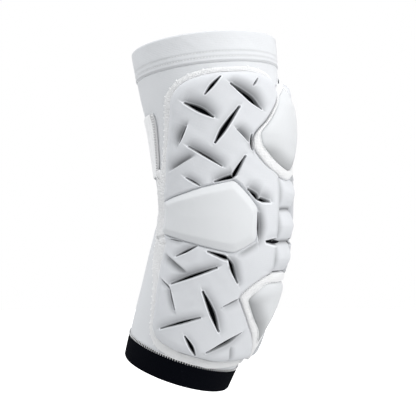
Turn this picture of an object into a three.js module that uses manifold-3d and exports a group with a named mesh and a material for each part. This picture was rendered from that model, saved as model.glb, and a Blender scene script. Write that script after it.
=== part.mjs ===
// Arm pad for field sports: a stretch sleeve with a slit foam pad wrapped round the outside
// of the elbow, two smooth bound panels on the elbow line and a hard cap on each side.
//
// Frame: millimetres, +Z up the arm. The arm bends in the plane y = 0, and the origin is the
// centre of the elbow on the arm's axis. The point of the elbow faces +X and the crook -X.
// A place on the pad is three numbers: an angle in degrees round the arm, from the elbow
// line at +X towards -Y, a distance along the arm's axis from the elbow, positive upwards,
// and a height above the outer face of the sleeve. One degree is close to one millimetre
// on the pad, so outlines are drawn with the angle as if it were a length.

import * as THREE from 'three';
import { mergeVertices } from 'three/addons/utils/BufferGeometryUtils.js';
import Module from 'manifold-3d';

const wasm = await Module();
wasm.setup();

// The arm that the sleeve is cut for
const upperLength = 126.5; // elbow centre to the top rim
const lowerLength = 133.5; // elbow centre to the bottom rim
const topRadius = 58; // mean radius at the top rim
const elbowRadius = 50; // mean radius at the elbow
const bottomRadius = 43; // mean radius at the bottom rim
const bendRadius = 110; // radius of the bent axis at the elbow
const upperLean = 7; // degrees from the axis's upright at the elbow to the upper arm
const lowerLean = 19.5; // degrees from the same upright to the forearm

// Cloth and foam
const sleeveWall = 1.6;
const cuffHeight = 23; // the folded hem at the top
const cuffProud = 0.9; // how far the hem stands out from the sleeve
const bandHeight = 18.5; // the elastic at the wrist end
const bandWall = 2.4;
const bandProud = 0.5;
const clearance = 0.6; // between layers that lie on each other
const underLiner = 0.9; // below the liner, over the sleeve
const underPad = 1.1; // below the foam, over the liner
const seamGap = 0.35; // between pieces that meet edge to edge
const linerWall = 0.85;
const linerInset = 5; // degrees that the liner stops short of the slit pad's edges
const foamThickness = 6.2; // of the slit pad at the middle of a tile
const foamEdge = 2.2; // of the slit pad at its outer rim
const rimWidth = 9; // of the rounded edge of the slit pad
const sagWidth = 9; // of the dent beside a slit
const shoulderDrop = 0.8; // of the slit pad where it meets the smooth panels
const shoulderWidth = 5;
const panelThickness = 9.4; // of the smooth panels at their middle
const panelEdge = 5.2; // of the smooth panels at their rim
const bindingThickness = 6.6; // of the bound edge round the smooth panels
const bindingShare = 0.8; // the panel's outline over that of its binding
const borderWidth = 20; // the stitched tape beside the slit pad, where it is widest
const borderWall = 1.8;
const capThickness = 4.6;
const capBevel = 1.8; // how far the cap's edge drops below its face
const capSeat = 4.4; // height of the pocket's floor above the liner
const ribPanelWall = 1.5;

// The middle block over the point of the elbow
const stripTopBow = 3.2; // how far the corners of its top reach past the middle
const stripBottomBow = 0.6;
const stripThickness = 5.4;
const stripEdgeDrop = 1.2; // how far its rim drops below its face
const stripFoldDepth = 1.4;
const stripFolds = [1, -15.5]; // places of its folds, in percent of the pad's reach
const stripFoldReach = 2.5; // percent of the reach that a fold takes on each side

// The slit pad's reach from the elbow
const padUp = 100; // to the top of the slit pad
const padDown = 110; // to its bottom

// Mesh fineness
const sleeveSides = 26;
const sleeveRings = 14;
const ringSides = 32;
const borderStations = 34;

const cloth = { color: 0xd9dcde, roughness: 0.85, metalness: 0 };
const bindingCloth = { color: 0xe6e8e9, roughness: 0.8, metalness: 0 };
const blackCloth = { color: 0x0c0e11, roughness: 0.9, metalness: 0 };
const moulded = { color: 0xe1e3e4, roughness: 0.55, metalness: 0 };

// Sections of the arm: the place along it as a share of the length to that rim, and the
// radius towards the elbow's point, the crook and the sides as shares of the mean radius.
const armSections = [
  { at: 1.0, out: 0.957, crook: 0.96, side: 1.034 },
  { at: 0.75, out: 0.975, crook: 0.96, side: 1.04 },
  { at: 0.47, out: 0.995, crook: 0.92, side: 1.03 },
  { at: 0.0, out: 0.935, crook: 0.97, side: 1.04 },
  { at: -0.265, out: 1.01, crook: 1.02, side: 1.07 },
  { at: -0.57, out: 1.06, crook: 1.005, side: 1.076 },
  { at: -0.76, out: 1.045, crook: 0.996, side: 1.052 },
  { at: -0.88, out: 1.02, crook: 0.98, side: 1.026 },
  { at: -1.0, out: 1.0, crook: 0.96, side: 1.023 },
];

// The slit pad's outline, top to bottom: the place along it in percent of its reach, and the
// angles of its edge at the elbow line and of its edge towards the crook.
const padRows = [
  { along: 94.5, inner: 40, outer: 64 },
  { along: 93, inner: 29, outer: 78 },
  { along: 89.5, inner: 19, outer: 89 },
  { along: 85, inner: 15.5, outer: 95 },
  { along: 79, inner: 15.5, outer: 99.5 },
  { along: 70, inner: 20.5, outer: 102 },
  { along: 58, inner: 30.5, outer: 105.5 },
  { along: 49.5, inner: 40, outer: 108 },
  { along: 43, inner: 42.6, outer: 110.5 },
  { along: 36, inner: 41.6, outer: 112.5 },
  { along: 25, inner: 31.8, outer: 115 },
  { along: 18.5, inner: 20.5, outer: 117 },
  { along: 13, inner: 18.2, outer: 119.5 },
  { along: -3, inner: 18.2, outer: 120 },
  { along: -20, inner: 18.2, outer: 118 },
  { along: -30, inner: 18.2, outer: 113 },
  { along: -33, inner: 26, outer: 112.5 },
  { along: -37, inner: 32.2, outer: 112 },
  { along: -44, inner: 39.2, outer: 111.5 },
  { along: -49, inner: 42.2, outer: 111 },
  { along: -54, inner: 38.7, outer: 110 },
  { along: -65, inner: 27.7, outer: 108 },
  { along: -76, inner: 15.2, outer: 105 },
  { along: -88, inner: 5.6, outer: 102 },
  { along: -93, inner: 4, outer: 97 },
  { along: -94.4, inner: 16, outer: 94 },
  { along: -95.8, inner: 29, outer: 88 },
  { along: -97.5, inner: 44, outer: 74 },
];

// The slits that go right through: their two ends as an angle and a percent of the pad's
// reach, the widest gap in millimetres, the side that sags, +1 on the left of the way from
// the first end to the second, seen from outside, and -1 on the right, and how far it sags.
const slits = [
  { from: [61.5, 91], to: [73, 79.5], gap: 2.0, sag: -1, dip: 0.7 },
  { from: [55, 85], to: [35, 66], gap: 3.6, sag: 1, dip: 2.4 },
  { from: [87.5, 75], to: [70, 62.5], gap: 2.6, sag: 1, dip: 1.8 },
  { from: [51.5, 68], to: [70, 44], gap: 3.2, sag: -1, dip: 0.8 },
  { from: [88.5, 58], to: [95.5, 47], gap: 1.2, sag: 1, dip: 1.6 },
  { from: [49.5, 32], to: [59, 18], gap: 2.2, sag: -1, dip: 0.8 },
  { from: [59, 18], to: [73, 16], gap: 1.8, sag: -1, dip: 1.6 },
  { from: [48.5, 9.5], to: [39.5, 3.5], gap: 1.4, sag: 1, dip: 2.0 },
  { from: [39.5, 3.5], to: [29.5, 2.6], gap: 1.6, sag: 1, dip: 1.4 },
  { from: [33, -16.5], to: [18.9, -15.5], gap: 2.0, sag: 1, dip: 0.8 },
  { from: [84.2, -24.8], to: [97.5, -35.8], gap: 1.6, sag: -1, dip: 1.2 },
  { from: [75.5, -26.6], to: [59.5, -28], gap: 1.8, sag: 1, dip: 0.8 },
  { from: [59.5, -28], to: [47.8, -40], gap: 2.2, sag: 1, dip: 1.4 },
  { from: [66, -34], to: [95.2, -54.8], gap: 2.0, sag: 1, dip: 1.0 },
  { from: [70.5, -52.3], to: [50.2, -75], gap: 3.2, sag: 1, dip: 1.0 },
  { from: [93, -86], to: [66.5, -69.5], gap: 2.0, sag: -1, dip: 1.4 },
  { from: [73, -85], to: [60.8, -95.5], gap: 2.8, sag: 1, dip: 0.8 },
  { from: [53, -91.4], to: [31.5, -73], gap: 1.6, sag: -1, dip: 1.8 },
];

// Soft creases, pressed in and not cut: ends as for the slits, depth and half width.
const creases = [
  { from: [87.5, 35.5], to: [105, 29], deep: 1.8, wide: 4 },
  { from: [40, -3], to: [38.5, -16], deep: 1.8, wide: 4 },
  { from: [104, -38], to: [86.8, -43], deep: 1.4, wide: 4 },
  { from: [35.5, -85.5], to: [31, -94], deep: 1.6, wide: 4 },
  { from: [35, 88.5], to: [39, 83.5], deep: 0.8, wide: 3 },
  { from: [54.5, 52], to: [46.5, 42.5], deep: 2.0, wide: 4 },
  { from: [89, 43.5], to: [67, 26.5], deep: 1.8, wide: 4 },
  { from: [94, 21.5], to: [84.5, 14.5], deep: 1.2, wide: 4 },
  { from: [103.5, -54.3], to: [95, -57.5], deep: 1.0, wide: 3 },
  { from: [95, -57.5], to: [86.2, -70], deep: 1.2, wide: 4 },
  { from: [52.8, -57.7], to: [42.5, -49.3], deep: 1.0, wide: 3 },
];

// The width of the tape beside the slit pad, as a share of its widest, by percent of the reach
const borderRows = [
  { along: 100, share: 0.2 },
  { along: 92, share: 0.22 },
  { along: 85, share: 0.3 },
  { along: 79, share: 0.4 },
  { along: 50, share: 0.4 },
  { along: 36, share: 0.45 },
  { along: 28, share: 0.6 },
  { along: 20, share: 1 },
  { along: -40, share: 1 },
  { along: -60, share: 0.5 },
  { along: -80, share: 0.35 },
  { along: -100, share: 0.35 },
];

// The two smooth panels on the elbow line: at each place along, half their width in degrees
// and their thickness as a share of the whole.
const upperPanelRows = [
  { along: 89, half: 1.5, rise: 0.3 },
  { along: 85, half: 7.5, rise: 0.5 },
  { along: 79, half: 14.8, rise: 0.8 },
  { along: 70, half: 19.8, rise: 0.95 },
  { along: 58, half: 29.8, rise: 1 },
  { along: 49.5, half: 39.3, rise: 1 },
  { along: 43, half: 41.9, rise: 1 },
  { along: 36, half: 40.9, rise: 1 },
  { along: 25, half: 31.1, rise: 0.92 },
  { along: 18.5, half: 19.8, rise: 0.82 },
  { along: 15, half: 8, rise: 0.7 },
  { along: 14, half: 1.5, rise: 0.68 },
];
const lowerPanelRows = [
  { along: -30.3, half: 5, rise: 0.85 },
  { along: -31, half: 17.5, rise: 0.85 },
  { along: -33, half: 25.3, rise: 0.85 },
  { along: -37, half: 31.5, rise: 0.85 },
  { along: -44, half: 38.5, rise: 0.85 },
  { along: -49, half: 41.5, rise: 0.85 },
  { along: -54, half: 38, rise: 0.85 },
  { along: -65, half: 27, rise: 0.85 },
  { along: -76, half: 14.5, rise: 0.85 },
  { along: -88, half: 4.2, rise: 0.85 },
  { along: -95, half: 2, rise: 0.8 },
];

// The cap: the places of its top and bottom edge, in percent of the pad's reach, by angle.
const capColumns = [
  { angle: 40.5, top: 0, bottom: -16.5 },
  { angle: 59, top: 15.8, bottom: -25.5 },
  { angle: 88, top: 12.8, bottom: -24.5 },
  { angle: 110, top: 8, bottom: -24.5 },
  { angle: 117, top: 5, bottom: -22 },
];

// The ribbed stretch panel on the crook's side of the upper arm: its top and bottom in percent
// of the reach, the angle of its edge at the top, how far that edge leans and its corners
const ribPanel = { top: 70, bottom: 28, from: 122, lean: 9, corner: 4 };

const radians = THREE.MathUtils.degToRad;
const { clamp, lerp } = THREE.MathUtils;

// The distance along the axis that a percent of the pad's reach stands for.
function reach(percent) {
  return percent * (percent > 0 ? padUp : padDown) / 100;
}

// One column of a table by its key, straight between its rows, which run down the key.
function between(table, key, column, value) {
  const falls = table[1][key] < table[0][key];
  const past = (row) => (falls ? value < row[key] : value > row[key]);
  let i = 0;
  while (i < table.length - 2 && past(table[i + 1])) i++;
  const a = table[i];
  const b = table[i + 1];
  return lerp(a[column], b[column], clamp((value - a[key]) / (b[key] - a[key]), 0, 1));
}

// A radius share from the sections, on a smooth curve: a cubic through the rows whose slope
// at each row is that of the line between its two neighbours.
function sectionShare(at, column) {
  const last = armSections.length - 1;
  let i = 0;
  while (i < last - 1 && at < armSections[i + 1].at) i++;
  const slope = (k) => {
    const a = armSections[Math.max(k - 1, 0)];
    const b = armSections[Math.min(k + 1, last)];
    return (b[column] - a[column]) / (b.at - a.at);
  };
  const a = armSections[i];
  const b = armSections[i + 1];
  const span = b.at - a.at;
  const t = (at - a.at) / span;
  const keepA = (1 + 2 * t) * (1 - t) ** 2;
  const keepB = t * t * (3 - 2 * t);
  const turnA = t * (1 - t) ** 2 * span * slope(i);
  const turnB = t * t * (t - 1) * span * slope(i + 1);
  return keepA * a[column] + keepB * b[column] + turnA + turnB;
}

// The point at an angle round the arm, a distance along it and a height above the sleeve.
function armPoint(angle, along, height) {
  const turn = clamp(along / bendRadius, -radians(lowerLean), radians(upperLean));
  const rest = along - turn * bendRadius;
  const axisX = -bendRadius * (1 - Math.cos(turn)) - rest * Math.sin(turn);
  const axisZ = bendRadius * Math.sin(turn) + rest * Math.cos(turn);
  const at = along > 0 ? along / upperLength : along / lowerLength;
  const mean = lerp(elbowRadius, along > 0 ? topRadius : bottomRadius, Math.abs(at));
  const bow = Math.cos(radians(angle));
  const bowColumn = bow > 0 ? 'out' : 'crook';
  const forward = (mean * sectionShare(at, bowColumn) + height) * bow;
  const sideways = (mean * sectionShare(at, 'side') + height) * Math.sin(radians(angle));
  return new THREE.Vector3(
    axisX + forward * Math.cos(turn), -sideways, axisZ + forward * Math.sin(turn));
}

// Joins the corners that lie on each other, so that a mesh is closed.
function welded(geometry) {
  geometry.deleteAttribute('normal');
  geometry.deleteAttribute('uv');
  return mergeVertices(geometry);
}

// A patch of the pad: a box grid whose width becomes a place across, whose height a place
// down and whose depth a height, from lower to upper, each a function of the place.
function patch(columns, rows, place, lower, upper) {
  const blank = new THREE.BoxGeometry(1, 1, 1, columns, rows, 1);
  const position = blank.attributes.position;
  for (let i = 0; i < position.count; i++) {
    const across = Math.round((0.5 - position.getX(i)) * columns);
    const down = Math.round((0.5 - position.getY(i)) * rows);
    const [angle, along] = place(across, down);
    const height = position.getZ(i) > 0 ? upper(angle, along, across, down) : lower(angle, along);
    position.setXYZ(i, ...armPoint(angle, along, height));
  }
  return welded(blank);
}

// A ring round the arm: a closed profile of places along and heights, turned round an axis
// and then laid on the arm.
function ring(profile, sides) {
  const blankRadius = 100;
  const points = profile.map(([along, height]) => new THREE.Vector2(blankRadius + height, along));
  points.push(points[0].clone());
  const blank = new THREE.LatheGeometry(points, sides);
  const position = blank.attributes.position;
  for (let i = 0; i < position.count; i++) {
    const x = position.getX(i);
    const z = position.getZ(i);
    const angle = THREE.MathUtils.radToDeg(Math.atan2(x, z));
    const height = Math.hypot(x, z) - blankRadius;
    position.setXYZ(i, ...armPoint(-angle, position.getY(i), height));
  }
  return welded(blank);
}

// A solid for cutting, and back again.
function solid(geometry) {
  const mesh = new wasm.Mesh({
    numProp: 3,
    vertProperties: new Float32Array(geometry.attributes.position.array),
    triVerts: new Uint32Array(geometry.index.array),
  });
  return new wasm.Manifold(mesh);
}
function surface(body) {
  const mesh = body.getMesh();
  const geometry = new THREE.BufferGeometry();
  geometry.setAttribute('position', new THREE.BufferAttribute(mesh.vertProperties, 3));
  geometry.setIndex(new THREE.BufferAttribute(mesh.triVerts, 1));
  return geometry;
}

// The other side of the arm's plane, with its faces still pointing out.
function mirrored(geometry) {
  const twin = geometry.clone();
  const position = twin.attributes.position;
  for (let i = 0; i < position.count; i++) position.setY(i, -position.getY(i));
  const index = twin.index.array;
  for (let i = 0; i < index.length; i += 3) [index[i], index[i + 1]] = [index[i + 1], index[i]];
  return twin;
}

// Where a place lies beside the line from one end to the other: how far along it, as a
// share, and how far to its left, seen from outside, in millimetres.
function beside(line, angle, along) {
  const ax = line.from[0];
  const ay = reach(line.from[1]);
  const dx = line.to[0] - ax;
  const dy = reach(line.to[1]) - ay;
  const length = Math.hypot(dx, dy);
  const share = ((angle - ax) * dx + (along - ay) * dy) / length ** 2;
  const left = ((angle - ax) * dy - (along - ay) * dx) / length;
  return { share, left, length };
}

// How far a line's dent reaches at a place: whole beside its middle and none past its ends.
function endFade(share) {
  return clamp(Math.min(share, 1 - share) * 5 + 1, 0, 1);
}

// The slit pad's upper face: full in the tiles, low along its rim, sagging beside slits.
const padFloor = underLiner + linerWall + underPad;
function padHeight(angle, along) {
  const inner = angle - between(padRows, 'along', 'inner', percent(along));
  const outer = between(padRows, 'along', 'outer', percent(along)) - angle;
  const top = reach(padRows[0].along) - along;
  const bottom = along - reach(padRows.at(-1).along);
  const rim = clamp(Math.min(outer, top + 2, bottom + 2) / rimWidth, 0, 1);
  const crown = lerp(foamEdge, foamThickness, Math.sin(rim * Math.PI / 2));
  let dent = 0;
  for (const slit of slits) {
    const { share, left } = beside(slit, angle, along);
    const away = left * slit.sag;
    const sunk = slit.dip * Math.exp(-((away / sagWidth) ** 2)) * endFade(share);
    if (away > -1) dent = Math.max(dent, sunk);
  }
  for (const crease of creases) {
    const { share, left } = beside(crease, angle, along);
    dent = Math.max(dent, crease.deep * Math.exp(-((left / crease.wide) ** 2)) * endFade(share));
  }
  const shoulder = shoulderDrop * Math.exp(-((inner / shoulderWidth) ** 2));
  return padFloor + crown - Math.min(dent + shoulder, crown - foamEdge);
}
function percent(along) {
  return along * 100 / (along > 0 ? padUp : padDown);
}

// A cutter that goes through the pad: a lens with one straight side, drawn flat with the
// angle as its width, pushed through and bent with the arm.
const cutBelow = -2;
const cutAbove = 16;
const slitEnd = 0.6; // the width that a slit still has at its ends
function slitCutter({ from, to, gap, sag }) {
  const a = new THREE.Vector2(from[0], reach(from[1]));
  const b = new THREE.Vector2(to[0], reach(to[1]));
  const way = b.clone().sub(a).normalize();
  const left = new THREE.Vector2(way.y, -way.x).multiplyScalar(sag);
  const middle = a.clone().lerp(b, 0.5);
  const widest = middle.clone().addScaledVector(left, 2 * gap - slitEnd);
  const aEnd = a.clone().addScaledVector(left, slitEnd);
  const bEnd = b.clone().addScaledVector(left, slitEnd);
  const lens = new THREE.Shape();
  lens.moveTo(a.x, a.y);
  lens.lineTo(middle.x, middle.y);
  lens.lineTo(b.x, b.y);
  lens.lineTo(bEnd.x, bEnd.y);
  lens.quadraticCurveTo(widest.x, widest.y, aEnd.x, aEnd.y);
  lens.closePath();
  return bent(new THREE.ExtrudeGeometry(lens, {
    depth: cutAbove - cutBelow, steps: 1, curveSegments: 2, bevelEnabled: false,
  }));
}

// Bends a flat piece, drawn with the angle as its width, onto the arm. The angle runs to the
// left seen from outside, so the faces are turned round.
function bent(flat) {
  const blank = welded(flat);
  const position = blank.attributes.position;
  for (let i = 0; i < position.count; i++) {
    const height = position.getZ(i) + cutBelow;
    position.setXYZ(i, ...armPoint(position.getX(i), position.getY(i), height));
  }
  const index = blank.index.array;
  for (let i = 0; i < index.length; i += 3) [index[i], index[i + 1]] = [index[i + 1], index[i]];
  return blank;
}

// A place in the cap's outline, grown all round by a margin.
const capCells = 8;
const capRows = 4;
const capRim = 0.05; // the bevel's share of the cap's width
function capPlace(margin) {
  const first = capColumns[0].angle - margin;
  const last = capColumns.at(-1).angle + margin;
  return (across, down) => {
    const angle = lerp(first, last, rimmed(across, capCells, capRim));
    const top = reach(between(capColumns, 'angle', 'top', angle)) + margin;
    const bottom = reach(between(capColumns, 'angle', 'bottom', angle)) - margin;
    return [angle, lerp(top, bottom, rimmed(down, capRows, capRim * 1.6))];
  };
}

// The share at a grid line when the first and last cells are narrow and the rest are even.
function rimmed(line, cells, rim) {
  if (line === 0) return 0;
  if (line === cells) return 1;
  return lerp(rim, 1 - rim, (line - 1) / (cells - 2));
}

function makeCap() {
  const floor = () => padFloor + capSeat + clearance;
  const face = (angle, along, across, down) => {
    const edge = across === 0 || across === capCells || down === 0 || down === capRows;
    return floor() + capThickness - (edge ? capBevel : 0);
  };
  return patch(capCells, capRows, capPlace(0), floor, face);
}

// The slit pad of one side: a grid between its two edges, with a pocket for the cap and the
// slits cut through.
function makePad() {
  const cells = 8;
  const place = (across, down) => {
    const row = padRows[down];
    return [lerp(row.inner, row.outer, rimmed(across, cells, 0.06)), reach(row.along)];
  };
  const blank = patch(cells, padRows.length - 1, place, () => padFloor, padHeight);
  const pocketFloor = () => padFloor + capSeat;
  const pocket = patch(capCells, capRows, capPlace(seamGap * 2), pocketFloor, () => cutAbove);
  const cutters = slits.map((slit) => solid(slitCutter(slit)));
  return surface(solid(blank).subtract(wasm.Manifold.union([solid(pocket), ...cutters])));
}

// One of the smooth panels on the elbow line, its outline drawn in towards its middle.
function panelPatch(rows, share, lower, upper) {
  const cells = 6;
  const middle = reach((rows[0].along + rows.at(-1).along) / 2);
  const place = (across, down) => {
    const row = rows[down];
    const angle = lerp(-row.half, row.half, rimmed(across, cells, 0.1)) * share;
    return [angle, lerp(middle, reach(row.along), share)];
  };
  return patch(cells, rows.length - 1, place, lower, upper);
}

function makePanel(rows) {
  const top = reach(rows[0].along);
  const bottom = reach(rows.at(-1).along);
  const face = (angle, along) => {
    const half = between(rows, 'along', 'half', percent(along)) * bindingShare;
    const beam = Math.sqrt(clamp(1 - (angle / Math.max(half, 1)) ** 2, 0, 1));
    const length = Math.sqrt(clamp(4 * (top - along) * (along - bottom) / (top - bottom) ** 2, 0, 1));
    const rise = between(rows, 'along', 'rise', percent(along));
    return padFloor + lerp(panelEdge, panelThickness, Math.min(beam, length)) * rise;
  };
  return panelPatch(rows, bindingShare, () => clearance, face);
}

// The bound edge round a smooth panel: a loop along the panel's outline whose section is a
// flat tape folded over, drawn on a straight ring and then laid on the outline.
function makeBinding(rows) {
  const middle = reach((rows[0].along + rows.at(-1).along) / 2);
  const outline = [
    ...rows.map((row) => [row.half, reach(row.along)]),
    ...rows.map((row) => [-row.half, reach(row.along)]).reverse(),
  ];
  const inside = bindingShare + 0.03;
  const section = [[1, 0], [1, 0.7], [(1 + inside) / 2, 1], [inside, 0.8], [inside, 0]];
  const points = section.map(([share, height]) => new THREE.Vector2(share, height));
  points.push(points[0].clone());
  const blank = new THREE.LatheGeometry(points, outline.length);
  const position = blank.attributes.position;
  for (let i = 0; i < position.count; i++) {
    const corner = points[i % points.length];
    const [half, along] = outline[Math.floor(i / points.length) % outline.length];
    const place = [half * corner.x, lerp(middle, along, corner.x)];
    const rise = between(rows, 'along', 'rise', percent(place[1]));
    const height = lerp(clearance, padFloor + bindingThickness * rise, corner.y);
    position.setXYZ(i, ...armPoint(...place, height));
  }
  return welded(blank);
}

// The middle block of the slit pad, between the two smooth panels, with its ends bowed to
// follow theirs and two soft folds across it.
function makeElbowStrip() {
  const cells = 6;
  const rows = 9;
  const half = between(padRows, 'along', 'inner', 0) - seamGap;
  const place = (across, down) => {
    const angle = lerp(-half, half, across / cells);
    const bow = (angle / half) ** 2;
    const top = reach(upperPanelRows.at(-1).along) - seamGap + bow * stripTopBow;
    const bottom = reach(lowerPanelRows[0].along) + 3 * seamGap - bow * stripBottomBow;
    return [angle, lerp(top, bottom, rimmed(down, rows, 0.06))];
  };
  const face = (angle, along, across, down) => {
    const edge = across === 0 || across === cells || down === 0 || down === rows;
    const fold = stripFolds.some((at) => Math.abs(percent(along) - at) < stripFoldReach);
    return padFloor + stripThickness - (edge ? stripEdgeDrop : 0) - (fold ? stripFoldDepth : 0);
  };
  return patch(cells, rows, place, () => clearance, face);
}

// The stitched tape round the outer edge of the slit pad: a band on the sleeve along the
// chain of the pad's rim, from the top corner at the elbow line round to the bottom one.
function makeBorder() {
  const cells = 2;
  const topRows = padRows.slice(0, 4).reverse();
  const bottomRows = padRows.slice(-3).reverse();
  const chain = [
    ...topRows.map((row) => [row.inner, reach(row.along)]),
    ...padRows.map((row) => [row.outer, reach(row.along)]),
    ...bottomRows.map((row) => [row.inner, reach(row.along)]),
  ].map(([x, y]) => new THREE.Vector2(x, y));
  const stations = new THREE.SplineCurve(chain).getSpacedPoints(borderStations);
  const outward = (i) => {
    const a = stations[Math.max(i - 1, 0)];
    const b = stations[Math.min(i + 1, borderStations)];
    const way = b.clone().sub(a).normalize();
    return new THREE.Vector2(-way.y, way.x);
  };
  const place = (across, down) => {
    const share = between(borderRows, 'along', 'share', percent(stations[down].y));
    const apart = seamGap * 2 + borderWidth * share * across / cells;
    const point = stations[down].clone().addScaledVector(outward(down), apart);
    return [point.x, point.y];
  };
  return patch(cells, borderStations, place, () => clearance, () => clearance + borderWall);
}

// The thin black sheet that shows through the slits.
function makeLiner() {
  const cells = 9;
  const rows = 14;
  const place = (across, down) => {
    const along = lerp(reach(91), reach(-92), down / rows);
    const inner = between(padRows, 'along', 'inner', percent(along)) + linerInset;
    const outer = between(padRows, 'along', 'outer', percent(along)) - linerInset;
    return [lerp(inner, outer, across / cells), along];
  };
  return patch(cells, rows, place, () => underLiner, () => underLiner + linerWall);
}

function makeRibPanel() {
  const cells = 9;
  const rows = 5;
  const { top, bottom, from, lean, corner } = ribPanel;
  const place = (across, down) => {
    const share = down / rows;
    const near = from + lean * share + corner * (2 * Math.abs(share - 0.5)) ** 4;
    const angle = lerp(near, 360 - near, across / cells);
    return [angle, lerp(reach(top), reach(bottom), share)];
  };
  return patch(cells, rows, place, () => clearance, () => clearance + ribPanelWall);
}

function makeSleeve() {
  const top = upperLength - cuffHeight - seamGap;
  const bottom = -lowerLength + bandHeight + seamGap;
  const rings = Array.from({ length: sleeveRings + 1 }, (_, i) => lerp(bottom, top, i / sleeveRings));
  const outside = rings.map((along) => [along, 0]);
  const inside = rings.reverse().map((along) => [along, -sleeveWall]);
  return ring([...outside, ...inside], sleeveSides);
}

// The folded hem: two layers with a round fold at the top and a stitched lower edge.
function makeCuff() {
  const bottom = upperLength - cuffHeight;
  const inner = -sleeveWall - cuffProud;
  return ring([
    [bottom, cuffProud * 0.3],
    [bottom + 3, cuffProud],
    [upperLength - 8, cuffProud],
    [upperLength - 1.2, cuffProud * 0.8],
    [upperLength, -sleeveWall / 2],
    [upperLength - 1.2, inner],
    [upperLength - 8, inner],
    [bottom, inner],
  ], ringSides);
}

function makeBand() {
  const top = -lowerLength + bandHeight;
  const middle = (top - lowerLength) / 2;
  const inner = bandProud - bandWall;
  return ring([
    [-lowerLength, 0],
    [-lowerLength + 1.5, bandProud],
    [middle, bandProud],
    [top - 1.5, bandProud],
    [top, 0],
    [top, inner],
    [middle, inner],
    [-lowerLength, inner],
  ], ringSides);
}

const armPad = new THREE.Group();
function add(name, geometry, finish) {
  geometry.computeVertexNormals();
  const mesh = new THREE.Mesh(geometry, new THREE.MeshStandardMaterial(finish));
  mesh.name = name;
  armPad.add(mesh);
}
function addPair(name, geometry, finish) {
  add(`${name}_near`, geometry, finish);
  add(`${name}_far`, mirrored(geometry), finish);
}

add('sleeve', makeSleeve(), cloth);
add('top_cuff', makeCuff(), cloth);
add('wrist_band', makeBand(), blackCloth);
add('rib_panel', makeRibPanel(), cloth);
addPair('liner', makeLiner(), blackCloth);
addPair('slit_pad', makePad(), cloth);
addPair('border', makeBorder(), bindingCloth);
addPair('cap', makeCap(), moulded);
add('elbow_strip', makeElbowStrip(), cloth);
add('upper_panel', makePanel(upperPanelRows), cloth);
add('upper_binding', makeBinding(upperPanelRows), bindingCloth);
add('lower_panel', makePanel(lowerPanelRows), cloth);
add('lower_binding', makeBinding(lowerPanelRows), bindingCloth);

export default armPad;
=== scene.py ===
"""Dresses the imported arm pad: a stretch sleeve, slit foam pads, side caps and bound panels.

Every piece is a surface on the same bent arm as the frame: a place is an angle in degrees
round the arm, from the elbow line at +X towards -Y, a distance in millimetres along its axis
and a height in millimetres above the sleeve's outer face. One degree is about one millimetre.
"""

import math
from functools import partial
from types import SimpleNamespace

import bmesh
import bpy
import numpy as np
from bpy.props import FloatProperty, FloatVectorProperty, PointerProperty
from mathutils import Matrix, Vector


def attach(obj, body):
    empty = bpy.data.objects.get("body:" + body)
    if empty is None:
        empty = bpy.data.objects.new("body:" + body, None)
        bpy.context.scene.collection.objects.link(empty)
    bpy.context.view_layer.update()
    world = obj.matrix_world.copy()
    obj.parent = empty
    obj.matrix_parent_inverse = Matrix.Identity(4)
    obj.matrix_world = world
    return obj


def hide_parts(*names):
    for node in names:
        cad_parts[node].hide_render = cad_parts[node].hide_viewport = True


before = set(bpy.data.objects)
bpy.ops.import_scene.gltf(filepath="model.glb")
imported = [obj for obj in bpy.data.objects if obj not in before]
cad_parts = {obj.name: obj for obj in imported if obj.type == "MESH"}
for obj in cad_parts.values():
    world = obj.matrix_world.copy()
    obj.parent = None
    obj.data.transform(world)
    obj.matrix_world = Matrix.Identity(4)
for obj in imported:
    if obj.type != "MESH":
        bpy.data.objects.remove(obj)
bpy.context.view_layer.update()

bl_info = {
    "name": "Arm Pad",
    "version": (1, 0, 0),
    "blender": (4, 5, 0),
    "location": "View3D > Sidebar > Arm Pad",
    "description": "Builds the cloth, foam and stitches of a slit arm pad",
    "category": "Add Mesh",
}

MM = 0.001

# The arm that the sleeve is cut for, as in the frame
UPPER_LENGTH = 126.5
LOWER_LENGTH = 133.5
TOP_RADIUS = 58.0
ELBOW_RADIUS = 50.0
BOTTOM_RADIUS = 43.0
BEND_RADIUS = 110.0
UPPER_LEAN = math.radians(7.0)
LOWER_LEAN = math.radians(19.5)

# The sleeve's wall and its two ends
SLEEVE_WALL = 1.6
CUFF_HEIGHT = 23.0
HEM_ROWS = (3.6, 7.4)  # stitch rows above the hem's lower edge
BAND_HEIGHT = 18.5

# The pad: where its foam begins above the sleeve, and how far it reaches up and down from the
# elbow, which is what a percent in the tables is taken of
PAD_FLOOR = 2.85
PAD_UP = 100.0
PAD_DOWN = 110.0

# The ribbed panel's top and height, and the angle at its top and how far that leans by its end
RIB_TOP = 75.0
RIB_HEIGHT = 47.0
RIB_START = 122.0
RIB_LEAN = 9.0

# Place along as a share of the length to that rim, and radii to the elbow's point, the crook
# and the sides as shares of the mean radius.
ARM_SECTIONS = np.array([
    [-1.0, 1.0, 0.96, 1.023],
    [-0.88, 1.02, 0.98, 1.026],
    [-0.76, 1.045, 0.996, 1.052],
    [-0.57, 1.06, 1.005, 1.076],
    [-0.265, 1.01, 1.02, 1.07],
    [0.0, 0.935, 0.97, 1.04],
    [0.47, 0.995, 0.92, 1.03],
    [0.75, 0.975, 0.96, 1.04],
    [1.0, 0.957, 0.96, 1.034],
])

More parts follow.
